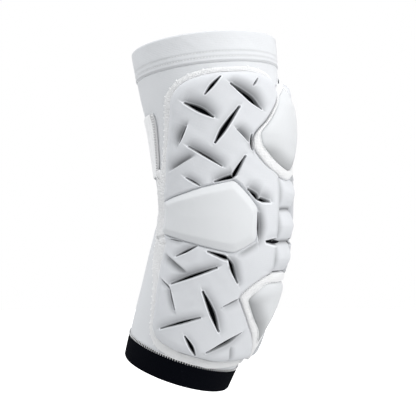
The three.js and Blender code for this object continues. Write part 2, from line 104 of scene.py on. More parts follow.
# The slit pad's outline: percent of its reach, angle of its inner and of its outer edge
PAD_ROWS = np.array([
    [94.5, 40, 64],
    [93, 29, 78],
    [89.5, 19, 89],
    [85, 15.5, 95],
    [79, 15.5, 99.5],
    [70, 20.5, 102],
    [58, 30.5, 105.5],
    [49.5, 40, 108],
    [43, 42.6, 110.5],
    [36, 41.6, 112.5],
    [25, 31.8, 115],
    [18.5, 20.5, 117],
    [13, 18.2, 119.5],
    [-3, 18.2, 120],
    [-20, 18.2, 118],
    [-30, 18.2, 113],
    [-33, 26, 112.5],
    [-37, 32.2, 112],
    [-44, 39.2, 111.5],
    [-49, 42.2, 111],
    [-54, 38.7, 110],
    [-65, 27.7, 108],
    [-76, 15.2, 105],
    [-88, 5.6, 102],
    [-93, 4, 97],
    [-94.4, 16, 94],
    [-95.8, 29, 88],
    [-97.5, 44, 74],
])

# The width in millimetres of the tape beside the slit pad, by percent of the reach
BORDER_ROWS = np.array([
    [-100, 7], [-80, 7], [-60, 10], [-40, 20], [20, 20], [28, 12], [36, 9], [50, 8], [79, 8],
    [85, 6], [92, 4.4], [100, 4],
])

# The smooth panels' outlines: percent of the reach, half the width in degrees, the share of
# the outline where the bound edge's tape begins, and the thickness as a share of the whole
UPPER_PANEL_ROWS = np.array([
    [89, 0, 0.9, 0.3],
    [85, 7.5, 0.9, 0.5],
    [79, 14.8, 0.92, 0.8],
    [70, 19.8, 0.93, 0.95],
    [58, 29.8, 0.93, 1],
    [49.5, 39.3, 0.9, 1],
    [43, 41.9, 0.84, 1],
    [36, 40.9, 0.8, 1],
    [25, 31.1, 0.77, 0.92],
    [18.5, 19.8, 0.76, 0.82],
    [15, 8, 0.76, 0.7],
    [14, 0, 0.76, 0.68],
])
LOWER_PANEL_ROWS = np.array([
    [-30.3, 0, 0.76, 0.85],
    [-30.6, 9, 0.76, 0.85],
    [-31, 17.5, 0.77, 0.85],
    [-33, 25.3, 0.78, 0.85],
    [-37, 31.5, 0.78, 0.85],
    [-44, 38.5, 0.79, 0.85],
    [-49, 41.5, 0.79, 0.85],
    [-54, 38, 0.79, 0.85],
    [-65, 27, 0.78, 0.85],
    [-76, 14.5, 0.72, 0.85],
    [-88, 4.2, 0.7, 0.85],
    [-95, 0, 0.7, 0.8],
])

# The slits and creases of one side. Each has its two ends, as an angle and a percent of the
# reach, the widest gap and the share of the way at which it lies, the side that sags, +1 on
# the left of the way seen from outside, how deep it sags and how wide, and how far the other
# side stands up.
SLITS = np.array([
    [61.5, 91, 73, 79.5, 1.9, 0.55, -1, 0.9, 6, 0.3],
    [55, 85, 35, 66, 4.6, 0.65, 1, 4.3, 11, 0.8],
    [35, 88.5, 39, 83.5, 0.8, 0.55, 1, 0.7, 5, 0.2],
    [87.5, 75, 70, 62.5, 3.2, 0.55, 1, 3.8, 12, 0.7],
    [51.5, 68, 70, 44, 3.1, 0.65, -1, 1.4, 7, 0.5],
    [54.5, 52, 46.5, 42.5, 0.8, 0.55, 1, 4.1, 10, 0.7],
    [43.4, 47.5, 43.2, 36.5, 1.5, 0.55, -1, 2.6, 7, 0],
    [46.5, 42.5, 42, 44, 0, 0.55, 1, 2.6, 6, 0.2],
    [88.5, 58, 95.5, 47, 1.6, 0.55, -1, 4, 11, 0.6],
    [89, 43.5, 67, 26.5, 1, 0.55, 1, 3.5, 10, 0.6],
    [87.5, 35.5, 105, 29, 0, 0.55, -1, 4.2, 10, 0.6],
    [49.5, 32, 59, 18, 2.6, 0.9, -1, 1.3, 6, 0.4],
    [59, 18, 73, 16, 2.6, 0.12, -1, 3.5, 9, 0.5],
    [94, 21.5, 84.5, 14.5, 0.7, 0.55, 1, 2.3, 7, 0.4],
    [48.5, 9.5, 39.5, 3.5, 2.8, 0.75, 1, 3.6, 9, 0.4],
    [39.5, 3.5, 29.5, 2.6, 1.8, 0.2, 1, 3.2, 8, 0.4],
    [40, -3, 38.5, -16, 2, 0.55, 1, 5, 7.5, 0],
    [31.5, -16.4, 9.2, -16.4, 2.4, 0.5, 1, 1.2, 6, 0.2],
    [40, -17.5, 52, -23.5, 0, 0.55, 1, 3, 5, 0],
    [106, -25.5, 96, -24.5, 0.5, 0.55, -1, 1.7, 6, 0],
    [84.2, -24.8, 97.5, -35.8, 1.2, 0.55, -1, 2.3, 7, 0.5],
    [75.5, -26.6, 59.5, -28, 2, 0.8, 1, 1.2, 5, 0.4],
    [59.5, -28, 47.8, -40, 2.4, 0.3, 1, 3.4, 7, 0.5],
    [104, -38, 86.8, -43, 0, 0.55, -1, 3.8, 9, 0.6],
    [66, -34, 95.2, -54.8, 1.6, 0.55, -1, 3.4, 9, 0.6],
    [103.5, -54.3, 95, -57.5, 0.7, 0.9, -1, 1.4, 6, 0.3],
    [95, -57.5, 86.2, -70, 0.9, 0.4, -1, 2.3, 7, 0.4],
    [70.5, -52.3, 50.2, -75, 3.6, 0.55, 1, 2.3, 8, 0.5],
    [52.8, -57.7, 42.5, -49.3, 0.8, 0.55, -1, 2, 7, 0.3],
    [93, -86, 66.5, -69.5, 1.3, 0.55, 1, 2.3, 8, 0.5],
    [73, -85, 60.8, -95.5, 2.4, 0.55, 1, 1.3, 6, 0.4],
    [53, -91.4, 31.5, -73, 3.4, 0.6, -1, 2.2, 8, 0.4],
    [35.5, -85.5, 31, -94, 0, 0.55, 1, 2.6, 6, 0.2],
])

# The cap's corners: angle and percent of the reach, in order round it
CAP_CORNERS = np.array([
    [117, 5], [110, 8], [88, 12.8], [59, 15.8], [40.5, 0], [40.5, -16.5], [59, -25.5],
    [88, -24.5], [110, -24.5], [117, -22],
])


def reach(percent):
    """Millimetres along the axis: a percent of the pad's reach up or down."""
    percent = np.asarray(percent, float)
    return percent / 100 * np.where(percent > 0, PAD_UP, PAD_DOWN)


def section_share(at, column):
    """A cubic through the sections' rows, whose slope at a row is that between its neighbours."""
    keys, values = ARM_SECTIONS[:, 0], ARM_SECTIONS[:, column]
    last = len(keys) - 1
    row = np.arange(last + 1)
    before, after = np.maximum(row - 1, 0), np.minimum(row + 1, last)
    slope = (values[after] - values[before]) / (keys[after] - keys[before])
    i = np.clip(np.searchsorted(keys, at) - 1, 0, last - 1)
    span = keys[i + 1] - keys[i]
    t = (at - keys[i]) / span
    keep = (1 + 2 * t) * (1 - t) ** 2 * values[i] + t * t * (3 - 2 * t) * values[i + 1]
    turn = t * (1 - t) ** 2 * slope[i] + t * t * (t - 1) * slope[i + 1]
    return keep + turn * span


def arm_points(angle, along, height):
    """Points on the arm, in metres: the axis is an arc between two straight legs, and a point
    lies off it by the section's radius and its height, in the plane square to the axis."""
    angle, along, height = (np.asarray(v, float) for v in (angle, along, height))
    angle, along, height = np.broadcast_arrays(angle, along, height)
    turn = np.clip(along / BEND_RADIUS, -LOWER_LEAN, UPPER_LEAN)
    rest = along - turn * BEND_RADIUS
    axis_x = -BEND_RADIUS * (1 - np.cos(turn)) - rest * np.sin(turn)
    axis_z = BEND_RADIUS * np.sin(turn) + rest * np.cos(turn)
    at = np.where(along > 0, along / UPPER_LENGTH, along / LOWER_LENGTH)
    rim = np.where(along > 0, TOP_RADIUS, BOTTOM_RADIUS)
    mean = ELBOW_RADIUS + (rim - ELBOW_RADIUS) * np.abs(at)
    bow, side = np.cos(np.radians(angle)), np.sin(np.radians(angle))
    share = np.where(bow > 0, section_share(at, 1), section_share(at, 2))
    forward = (mean * share + height) * bow
    across = (mean * section_share(at, 3) + height) * side
    points = [axis_x + forward * np.cos(turn), -across, axis_z + forward * np.sin(turn)]
    return np.stack(points, -1) * MM


def smooth_rows(table, steps):
    """A table's columns on a smooth curve through its rows, at even steps of travel: a cubic
    in the row number whose slope at a row is half the step between its neighbours."""
    last = len(table) - 1
    place = np.linspace(0, last, 40 * last + 1)
    i = np.minimum(place.astype(int), last - 1)
    t = (place - i)[:, None]
    rows = np.vstack([table[:1], table, table[-1:]])
    a, b, c, d = (rows[i + k] for k in range(4))
    curve = 0.5 * (2 * b + (c - a) * t + (2 * a - 5 * b + 4 * c - d) * t**2
                   + (3 * b - 3 * c + d - a) * t**3)
    weight = np.array([1.0] + [0.3] * (table.shape[1] - 1))
    travel = np.r_[0, np.cumsum(np.linalg.norm(np.diff(curve, axis=0) * weight, axis=1))]
    even = np.linspace(0, travel[-1], steps)
    return np.stack([np.interp(even, travel, curve[:, k]) for k in range(table.shape[1])], 1)


def distance_to(path, x, y):
    """How far each place lies from a path, by the nearest point of its straight stretches."""
    a, step = path[:-1], np.diff(path, axis=0)
    length = np.maximum((step**2).sum(1), 1e-9)
    best = np.full(x.shape, 1e9)
    for (ax, ay), (dx, dy), size in zip(a, step, length):
        t = np.clip(((x - ax) * dx + (y - ay) * dy) / size, 0, 1)
        best = np.minimum(best, (x - ax - t * dx) ** 2 + (y - ay - t * dy) ** 2)
    return np.sqrt(best)


def ease(value, low, high):
    """A smooth step from 0 at low to 1 at high."""
    t = np.clip((value - low) / (high - low), 0, 1)
    return t * t * (3 - 2 * t)


def round_edge(distance, width):
    """A quarter round: 0 at the edge, 1 from the given width inwards."""
    return np.sqrt(1 - (1 - np.clip(distance / width, 0, 1)) ** 2)


def sine_edge(distance, width):
    """A softer rise: a quarter of a sine wave from the edge to the given width."""
    return np.sin(np.clip(distance / width, 0, 1) * np.pi / 2)


def bell(value, width, power=2):
    """A bump of height 1 where the value is 0: e to the minus (value over width) to the power."""
    return np.exp(-((value / width) ** power))


def squarish(wave, power):
    """A sine or cosine drawn towards a square wave: its sign times its size to the power."""
    return np.sign(wave) * np.abs(wave) ** power


def joined(values, axis=0):
    """An array whose first row or column is repeated at its end, which closes a loop."""
    return np.concatenate([values, np.take(values, [0], axis)], axis)


def soft_noise(x, y, size, seed):
    """Gentle unevenness between -1 and 1: six crossed sine waves with seeded ways and phases."""
    rng = np.random.default_rng(seed)
    total = np.zeros(np.broadcast(x, y).shape)
    for way, phase, scale in zip(rng.uniform(0, 2 * np.pi, 6), rng.uniform(0, 6.3, 6),
                                 rng.uniform(0.7, 1.6, 6)):
        total += np.sin((x * np.cos(way) + y * np.sin(way)) * 2 * np.pi / (size * scale) + phase)
    return total / 6


def add_object(name, data):
    """A new object of the scene that holds the given mesh, light or camera."""
    made = bpy.data.objects.new(name, data)
    bpy.context.collection.objects.link(made)
    return made


def make_piece(name, points, faces, corners, material, masks=None):
    """A mesh of quads and triangles, each with its corners' places on the flat map, whose
    faces are turned to point out where the solid's signed volume is negative."""
    volume = 0.0
    for face in faces:
        for k in range(1, face.shape[1] - 1):
            a, b, c = points[face[:, 0]], points[face[:, k]], points[face[:, k + 1]]
            volume += np.einsum("ij,ij->i", a, np.cross(b, c)).sum()
    if volume < 0:
        faces = [face[:, ::-1] for face in faces]
        corners = [corner[:, ::-1] for corner in corners]
    mesh = bpy.data.meshes.new(name)
    mesh.vertices.add(len(points))
    mesh.vertices.foreach_set("co", points.astype(np.float32).ravel())
    loops = np.concatenate([face.ravel() for face in faces])
    mesh.loops.add(len(loops))
    mesh.loops.foreach_set("vertex_index", loops.astype(np.int32))
    sizes = np.concatenate([np.full(len(face), face.shape[1]) for face in faces])
    mesh.polygons.add(len(sizes))
    mesh.polygons.foreach_set("loop_start", np.r_[0, np.cumsum(sizes)[:-1]].astype(np.int32))
    mesh.update(calc_edges=True)
    mesh.shade_smooth()
    flat = np.concatenate([corner.reshape(-1, 2) for corner in corners])
    mesh.uv_layers.new(name="UVMap").data.foreach_set("uv", flat.astype(np.float32).ravel())
    for key, values in (masks or {}).items():
        mask = np.zeros(len(points), np.float32)
        mask[: values.size] = values.ravel()
        mesh.attributes.new(key, "FLOAT", "POINT").data.foreach_set("value", mask)
    mesh.validate()
    mesh.materials.append(MATERIALS[material])
    piece = add_object(name, mesh)
    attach(piece, "root")
    return piece


def cap_faces(ring, index):
    """Triangles that close a ring: its two furthest points part it into two sides, and each
    edge of a side joins the corner beside it, by share of the length, on the other side."""
    start = int(np.argmax(np.linalg.norm(ring - ring.mean(0), axis=1)))
    ring, index = np.roll(ring, -start, axis=0), np.roll(index, -start)
    end = int(np.argmax(np.linalg.norm(ring - ring[0], axis=1)))
    sides = [np.arange(end + 1), np.r_[0, np.arange(len(ring) - 1, end - 1, -1)]]
    middles = []
    for side in sides:
        run = np.r_[0, np.cumsum(np.linalg.norm(np.diff(ring[side], axis=0), axis=1))]
        run /= run[-1]
        middles.append((run[1:] + run[:-1]) / 2)
    (one, two), (near, far) = sides, middles
    ahead = np.stack([one[:-1], one[1:], two[np.searchsorted(far, near)]], 1)
    behind = np.stack([two[1:], two[:-1], one[np.searchsorted(near, far, side="right")]], 1)
    faces = index[np.vstack([ahead, behind])]
    repeat = (faces == np.roll(faces, 1, axis=1)).any(1)
    return faces[~repeat]


def lay_mesh(name, grid, uv, material, caps=False, masks=None):
    """A grid of points whose last column joins the first. Each cell is one face, and caps
    close the first and last rows."""
    rows, columns = grid.shape[:2]
    index = np.arange(rows * columns).reshape(rows, columns)
    index = np.concatenate([index, index[:, :1]], 1)
    quads = np.stack([index[:-1, :-1], index[1:, :-1], index[1:, 1:], index[:-1, 1:]], -1)
    cells = np.stack([uv[:-1, :-1], uv[1:, :-1], uv[1:, 1:], uv[:-1, 1:]], -2)
    points = grid.reshape(-1, 3)
    faces, corners = [quads.reshape(-1, 4)], [cells.reshape(-1, 4, 2)]
    if caps:
        bottom = cap_faces(grid[-1], index[-1, :-1])[:, ::-1]
        faces.append(np.vstack([cap_faces(grid[0], index[0, :-1]), bottom]))
        corners.append(np.broadcast_to(uv[0, 0], (len(faces[-1]), 3, 2)))
    return make_piece(name, points, faces, corners, material, masks)


def lay_stitches(name, angle, along, height, turn, length, radius):
    """Stitches of thread: each is a capsule of six sides, bowed up in the middle and sunk at
    its ends. Turn is its way in degrees from straight up the arm towards -Y."""
    t = np.array([-0.5, -0.38, 0.0, 0.38, 0.5])[None]
    thick = np.array([0.25, 0.85, 1.0, 0.85, 0.25]) * radius
    bow = radius * (0.9 - 5.0 * t**2)
    angle, along, height, turn = (np.broadcast_to(v, np.shape(angle))[:, None]
                                  for v in (angle, along, height, turn))
    x = angle + np.sin(np.radians(turn)) * length * t
    y = along + np.cos(np.radians(turn)) * length * t
    core = arm_points(x, y, height + bow)
    up = arm_points(x, y, height + bow + 1) - core
    up /= np.linalg.norm(up, axis=-1)[..., None]
    way = (core[:, -1] - core[:, 0])[:, None]
    side = np.cross(way, up)
    side /= np.linalg.norm(side, axis=-1)[..., None]
    spin = np.arange(6) * np.pi / 3
    offset = np.cos(spin)[:, None] * side[:, :, None] + np.sin(spin)[:, None] * up[:, :, None]
    points = core[:, :, None] + offset * thick[None, :, None, None] * MM
    one = np.arange(30).reshape(5, 6)
    two = np.roll(one, -1, axis=1)
    quads = np.stack([one[:-1], one[1:], two[1:], two[:-1]], -1).reshape(-1, 4)
    ends = np.array([[0, 1, 2, 3], [0, 3, 4, 5], [27, 26, 25, 24], [29, 28, 27, 24]])
    block = np.vstack([quads, ends])
    faces = (block[None] + np.arange(len(points))[:, None, None] * 30).reshape(-1, 4)
    corner = np.array([[0, 0], [0, 0.0005], [0.0005, 0.0005], [0.0005, 0]])
    corners = np.broadcast_to(corner, (len(faces), 4, 2))
    piece = make_piece(name, points.reshape(-1, 3), [faces], [corners], "thread")
    return piece


def mirrored(near):
    """The far side's twin of a near piece, with its faces turned back to point out."""
    mesh = near.data.copy()
    points = np.empty(len(mesh.vertices) * 3, np.float32)
    mesh.vertices.foreach_get("co", points)
    points[1::3] *= -1
    mesh.vertices.foreach_set("co", points)
    mesh.flip_normals()
    mesh.update()
    far = add_object(near.name.replace("_near", "_far"), mesh)
    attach(far, "root")
    return far


def path_sides(path):
    """Unit steps square to a path at each of its points, a quarter turn on from its way."""
    way = np.gradient(path, axis=0)
    way /= np.linalg.norm(way, axis=1)[:, None]
    return np.stack([-way[:, 1], way[:, 0]], 1)


def arm_uv(angle, along):
    """The cloth's own flat map: millimetres round and along the arm, in metres."""
    girth = np.pi / 180 * ELBOW_RADIUS * 1.1
    return np.stack(np.broadcast_arrays(angle * girth, along), -1) * MM


# Materials


def new_group(name, inputs, outputs):
    """An empty group: its inputs are numbers with defaults, its outputs numbers."""
    group = bpy.data.node_groups.new(name, "ShaderNodeTree")
    for key, default in inputs.items():
        kind = "NodeSocketVector" if default is None else "NodeSocketFloat"
        socket = group.interface.new_socket(key, in_out="INPUT", socket_type=kind)
        if default is not None:
            socket.default_value = default
    for key in outputs:
        group.interface.new_socket(key, in_out="OUTPUT", socket_type="NodeSocketFloat")
    return group, group.nodes.new("NodeGroupInput"), group.nodes.new("NodeGroupOutput")


def set_inputs(node, values):
    """Sets a node's own sockets by name."""
    for key, value in values.items():
        node.inputs[key].default_value = value


def math_node(tree, operation, a, b=None):
    """A Math node with its two inputs linked or set, and its output socket."""
    node = tree.nodes.new("ShaderNodeMath")
    node.operation = operation
    for socket, value in zip(node.inputs, (a, b)):
        if isinstance(value, bpy.types.NodeSocket):
            tree.links.new(value, socket)
        elif value is not None:
            socket.default_value = value
    return node.outputs[0]


def knit_group():
    """Rows of knitted loops: the height is a rounded wave across the wales, pinched by a
    second wave along them that leans one way and then the other."""
    inputs = {"Vector": None, "Across": 900.0, "Along": 700.0}
    group, start, end = new_group("Knit", inputs, ["Height"])
    split = group.nodes.new("ShaderNodeSeparateXYZ")
    group.links.new(start.outputs["Vector"], split.inputs[0])
    turn = 2 * math.pi
    work = partial(math_node, group)
    across = work("MULTIPLY", split.outputs[0], start.outputs["Across"])
    along = work("MULTIPLY", split.outputs[1], start.outputs["Along"])
    ridge = work("ABSOLUTE", work("SINE", work("MULTIPLY", across, turn)))
    leaned = work("ADD", along, work("MULTIPLY", ridge, 0.35))
    course = work("SINE", work("MULTIPLY", leaned, turn))
    pinch = work("MULTIPLY", work("MULTIPLY", course, 0.4), ridge)
    group.links.new(work("ADD", ridge, pinch), end.inputs["Height"])
    return group


def cloth_tone_group():
    """Faint unevenness of dyed cloth: broad clouds and a fine fleck, as a factor near one."""
    inputs = {"Amount": 0.04, "Cloud Size": 30.0, "Fleck Size": 900.0}
    group, start, end = new_group("Cloth Tone", inputs, ["Tone", "Fleck"])
    place = group.nodes.new("ShaderNodeTexCoord")
    noises = []
    for key, detail in (("Cloud Size", 3.0), ("Fleck Size", 1.0)):
        noise = group.nodes.new("ShaderNodeTexNoise")
        noise.inputs["Detail"].default_value = detail
        group.links.new(place.outputs["Object"], noise.inputs["Vector"])
        group.links.new(start.outputs[key], noise.inputs["Scale"])
        noises.append(noise.outputs["Fac"])
    work = partial(math_node, group)
    both = work("ADD", noises[0], work("MULTIPLY", noises[1], 0.5))
    scaled = work("MULTIPLY", work("SUBTRACT", both, 0.75), start.outputs["Amount"])
    group.links.new(work("ADD", scaled, 1.0), end.inputs["Tone"])
    group.links.new(noises[1], end.inputs["Fleck"])
    return group


GROUPS = {}
MATERIALS = {}


def group_node(tree, key, **values):
    """A group placed in a material with its own values."""
    node = tree.nodes.new("ShaderNodeGroup")
    node.node_tree = GROUPS[key]
    for name, value in values.items():
        node.inputs[name.replace("_", " ")].default_value = value
    return node


def colour_mix(tree, factor, first, second, blend="MIX"):
    """A Mix node of two colours, each linked or set, and its output socket."""
    node = tree.nodes.new("ShaderNodeMix")
    node.data_type = "RGBA"
    node.blend_type = blend
    for key, value in (("Factor", factor), ("A", first), ("B", second)):
        if isinstance(value, bpy.types.NodeSocket):
            tree.links.new(value, node.inputs[key])
        else:
            node.inputs[key].default_value = value
    return node.outputs["Result"]


def mask_node(tree, key):
    """A piece's own mask, read by its name."""
    node = tree.nodes.new("ShaderNodeAttribute")
    node.attribute_name = key
    return node.outputs["Fac"]


def cloth_material(name, color, knit=(900.0, 700.0), depth=0.00012, roughness=0.8, sheen=0.25,
                   tone=0.05, fuzz=0.3, specular=0.3, shade=0.0, gaps=False):
    """Knitted cloth: a tinted tone, loops and fuzz as bump, and a soft sheen. The shade mask
    paints shade into the hollows, the rim mask paints a highlight on the slits' edges, and the
    open gaps are close to black."""
    material = bpy.data.materials.new(name)
    material.use_nodes = True
    tree = material.node_tree
    shader = tree.nodes["Principled BSDF"]
    set_inputs(shader, {"Roughness": roughness, "Sheen Weight": sheen, "Sheen Roughness": 0.4,
                        "Specular IOR Level": specular})
    tones = group_node(tree, "tone", Amount=tone)
    out = colour_mix(tree, 1.0, (*color, 1.0), tones.outputs["Tone"], "MULTIPLY")
    if shade:
        # painted shade from the piece's shade mask, and a painted highlight from its rim mask
        dark = math_node(tree, "MULTIPLY", mask_node(tree, "shade"), shade)
        dim = math_node(tree, "SUBTRACT", 1.0, dark)
        rim = math_node(tree, "MULTIPLY", mask_node(tree, "rim"), 0.32)
        out = colour_mix(tree, 1.0, out, math_node(tree, "ADD", dim, rim), "MULTIPLY")
    if gaps:
        inside = tree.nodes.new("ShaderNodeMapRange")
        set_inputs(inside, {"From Min": 0.02, "From Max": 0.22})
        tree.links.new(mask_node(tree, "gap"), inside.inputs["Value"])
        out = colour_mix(tree, inside.outputs["Result"], out, (0.003, 0.004, 0.006, 1.0))
    tree.links.new(out, shader.inputs["Base Color"])
    flat = tree.nodes.new("ShaderNodeUVMap")
    flat.uv_map = "UVMap"
    loops = group_node(tree, "knit", Across=knit[0], Along=knit[1])
    tree.links.new(flat.outputs["UV"], loops.inputs["Vector"])
    bump = tree.nodes.new("ShaderNodeBump")
    bump.inputs["Distance"].default_value = depth
    nap = math_node(tree, "MULTIPLY", tones.outputs["Fleck"], fuzz)
    tree.links.new(math_node(tree, "ADD", loops.outputs["Height"], nap), bump.inputs["Height"])
    tree.links.new(bump.outputs["Normal"], shader.inputs["Normal"])
    MATERIALS[name] = material


# Shapes


def tube_piece(name, profile, columns, material, relief, masks=None):
    """A ring round the arm: a closed profile of places along and heights, carried all the way
    round, with a relief added to the height of its outer face."""
    along, height, outside = (profile[:, k][:, None] for k in range(3))
    angle = np.linspace(0, 360, columns, endpoint=False)[None]
    grid = joined(arm_points(angle, along, height + relief(angle, along) * outside))
    uv = arm_uv(np.linspace(0, 360, columns + 1)[None], joined(along))
    found = {key: joined(mask(angle, along) * outside) for key, mask in (masks or {}).items()}
    piece = lay_mesh(name, grid, uv, material, masks=found)
    weld(piece)
    return piece


def weld(piece):
    """Joins the corners that lie on each other and points the faces out."""
    made = bmesh.new()
    made.from_mesh(piece.data)
    bmesh.ops.remove_doubles(made, verts=made.verts, dist=1e-6)
    bmesh.ops.recalc_face_normals(made, faces=made.faces)
    made.to_mesh(piece.data)
    made.free()
    piece.data.shade_smooth()


def dense_profile(stretches):
    """A closed profile from straight stretches: each starts at a place along and a height, is
    cut in so many steps, and says whether its points belong to the outer face."""
    points = []
    for (along, height, steps, outside), ahead in zip(stretches, stretches[1:] + stretches[:1]):
        t = np.arange(steps)[:, None] / steps
        points.append(np.hstack([along + (ahead[0] - along) * t, height + (ahead[1] - height) * t,
                                 np.full((steps, 1), float(outside))]))
    return np.vstack(points)


def slit_field(x, y):
    """The slits' effect at each place: how far the cloth sags, how far it stands up, how much
    of the place is open gap, how much shade is painted on it and how strong the highlight
    painted on its rim is.

    Beside a slit the sagging side falls by its depth times the square of one minus the
    distance over its width, most at the middle of the slit, and the other side stands up. The
    gap is a lens: its width is the widest gap times one minus the power 1.6 of how far a place
    lies from the widest point, with a seventh of the widest gap as its least, and two thirds
    of it are on the sagging side. It lies in a trench with round ends, whose floor falls as a
    square and whose rim gets a painted highlight. Shade is painted on the sagging side by its
    depth and in the trench. A crease has no gap, and a softer step."""
    sag, lift, painted_shade, rim = (np.zeros(x.shape) for _ in range(4))
    gap = np.full(x.shape, -9.0)
    for ax, ay, bx, by, wide, peak, side, deep, far, stand in SLITS:
        ay, by = float(reach(ay)), float(reach(by))
        dx, dy = bx - ax, by - ay
        length = math.hypot(dx, dy)
        t = ((x - ax) * dx + (y - ay) * dy) / length**2
        q = ((x - ax) * dy - (y - ay) * dx) / length * side
        inside = np.clip(t, 0, 1)
        past = np.maximum(np.abs(t - 0.5) - 0.5, 0) * length
        apart = np.abs(inside - peak) / np.where(inside > peak, 1 - peak, peak)
        lens = np.maximum(wide * (1 - apart**1.6), 0.14 * wide)
        on_sag, on_rise = lens * 0.65, lens * 0.35
        fade = bell(past, 3.0) * (0.55 + 0.45 * np.sqrt(4 * inside * (1 - inside)))
        beyond = np.maximum(q - on_sag, 0)
        blur = 1.2 if wide == 0 else 0.35
        fall = deep * np.clip(1 - beyond / far, 0, 1) ** 2 * fade * ease(q, -blur, blur)
        sag = np.maximum(sag, fall)
        # painted shade: the deeper the sag, the darker its cloth is painted
        painted_shade = np.maximum(painted_shade, np.clip(fall / 3.6, 0, 1))
        rise = stand * np.exp(-np.maximum(-q - on_rise, 0) / 6) * fade * ease(-q, -0.4, 0.6)
        lift = np.maximum(lift, rise)
        if wide > 0:
            half = 0.5 * lens + 0.4 + 0.1 * wide
            off = np.hypot(q - 0.15 * lens, past) - half
            trench = np.clip(-off / half, 0, 1)
            sag = np.maximum(sag, (1.2 + 0.9 * wide) * (1 - (1 - trench) ** 2) + fall * 0.5)
            # painted shade in the trench round the gap
            painted_shade = np.maximum(painted_shade, 0.9 * ease(-off, -0.2, 0.5))
            # painted highlight just outside the trench, strongest beside wide gaps
            lip_and_highlight = bell(off - 0.4, 0.36) * (0.35 + 0.65 * np.minimum(wide / 2, 1))
            rim = np.maximum(rim, lip_and_highlight)
            edge = np.minimum(q + on_rise, on_sag - q)
            ends = 0.5 * length - np.abs(t - 0.5) * length
            gap = np.maximum(gap, np.minimum(edge, ends + 0.2))
    return sag, lift, gap, painted_shade, rim * (gap < -0.1)


def cap_distance(x, y):
    """How far inside the cap's outline a place lies, negative outside, with rounded corners:
    a soft least of the distances to its sides."""
    corners = np.stack([CAP_CORNERS[:, 0], reach(CAP_CORNERS[:, 1])], 1)
    total = np.zeros(np.broadcast(x, y).shape)
    sharp = 2.2
    for (ax, ay), (bx, by) in zip(corners, np.roll(corners, -1, axis=0)):
        dx, dy = bx - ax, by - ay
        outward = ((x - ax) * dy - (y - ay) * dx) / math.hypot(dx, dy)
        total += np.exp(sharp * outward)
    return -np.log(total) / sharp


def pad_outline(rows):
    """The slit pad's inner edge and its outer edge with its top and bottom, as two paths."""
    along = reach(rows[:, 0])
    inner = np.stack([rows[:, 1], along], 1)
    outer = np.stack([rows[:, 2], along], 1)
    high, low = rows[:, 0] > 80, rows[:, 0] < -92.9
    rim = np.vstack([inner[high][::-1], outer, inner[low][::-1]])
    return inner[~high & ~low], rim


def pad_height(x, y, rows, size):
    """Height of the slit pad's face, and its gap mask and the masks of its painted shade and
    painted rim highlight: full foam with a rounded rim, sagging and rising beside the slits,
    with a pocket under the cap."""
    inner, rim = pad_outline(rows[::4])
    outer_fall = round_edge(distance_to(rim, x, y), size.rim_width)
    to_inner = distance_to(inner, x, y)
    soft = sine_edge(to_inner, 7.0)
    middle = ease(y, -34, -32) * ease(-y, -15.6, -13.6)
    inner_fall = round_edge(to_inner, size.inner_edge) * (1 - middle) + soft * middle
    sag, lift, gap, painted_shade, lip_and_highlight = slit_field(x, y)
    full = size.foam - 1.4
    swell = 0.4 * soft_noise(x, y, 24, 4) + 0.13 * soft_noise(x, y, 8, 14)
    face = 1.4 + full * outer_fall + swell * outer_fall
    face -= size.inner_drop * (1 - 0.5 * middle) * (1 - inner_fall)
    inland = ease(outer_fall, 0.3, 0.95)
    face = face + (lift - sag) * inland
    pocket = ease(cap_distance(x, y), -1.6, 0.2)
    face = face - pocket * np.maximum(face - size.pocket, 0)
    face = np.maximum(face, 0.5)
    gap = np.minimum(gap, -cap_distance(x, y) - 0.3)
    drop = ease(gap, 0.05, 0.7)
    # painted shade along the pad's inner edge, fainter and wider along its middle stretch
    seam_shade = (0.5 - 0.25 * middle) * bell(to_inner, 1.3 + 1.7 * middle)
    shade = np.maximum(painted_shade * inland, seam_shade) * (1 - pocket)
    # the rim is raised a little as a lip, and the rim mask paints a highlight on it
    height = PAD_FLOOR + (face + 0.3 * lip_and_highlight * inland) * (1 - drop) - 0.35 * drop
    return height, {"gap": gap, "shade": shade, "rim": lip_and_highlight * inland * (1 - pocket)}


def size_in_mm(name, description, default):
    """A length given in millimetres, which the sidebar keeps in metres."""
    return FloatProperty(name=name, description=description, default=default * MM, min=0,
                         unit="LENGTH", precision=4)


class ArmPadSizes(bpy.types.PropertyGroup):
    """Sizes that a maker of the pad would change."""

    foam: size_in_mm("Foam", "Thickness of the slit foam", 6.4)
    rim_width: size_in_mm("Rim width", "Width of the pad's rounded rim", 8.0)
    inner_edge: size_in_mm("Inner edge", "Width of the pad's round edge beside the panels", 2.6)
    inner_drop: size_in_mm("Inner drop", "How far that edge falls", 2.4)
    pocket: size_in_mm("Pocket", "Foam left under the cap", 4.0)
    cap_rise: size_in_mm("Cap rise", "Height of the cap's face above the foam's floor", 8.9)
    cap_bevel: size_in_mm("Cap bevel", "Width of the cap's bevelled edge", 5.0)
    cap_drop: size_in_mm("Cap drop", "How far the bevel falls to the edge", 2.4)
    panel_rise: size_in_mm("Panel rise", "Thickness of the smooth panels", 9.2)
    binding_rise: size_in_mm("Binding rise", "Thickness of the bound edge", 6.2)


def pad_sizes(context):
    """The sidebar's sizes as plain millimetres."""
    group = context.scene.arm_pad_sizes
    return SimpleNamespace(**{key: getattr(group, key) / MM for key in ArmPadSizes.__annotations__})


def cloth_colour(name, description, default):
    """A colour that the sidebar shows as a swatch."""
    return FloatVectorProperty(name=name, description=description, subtype="COLOR", size=3,
                               default=default, min=0, max=1)


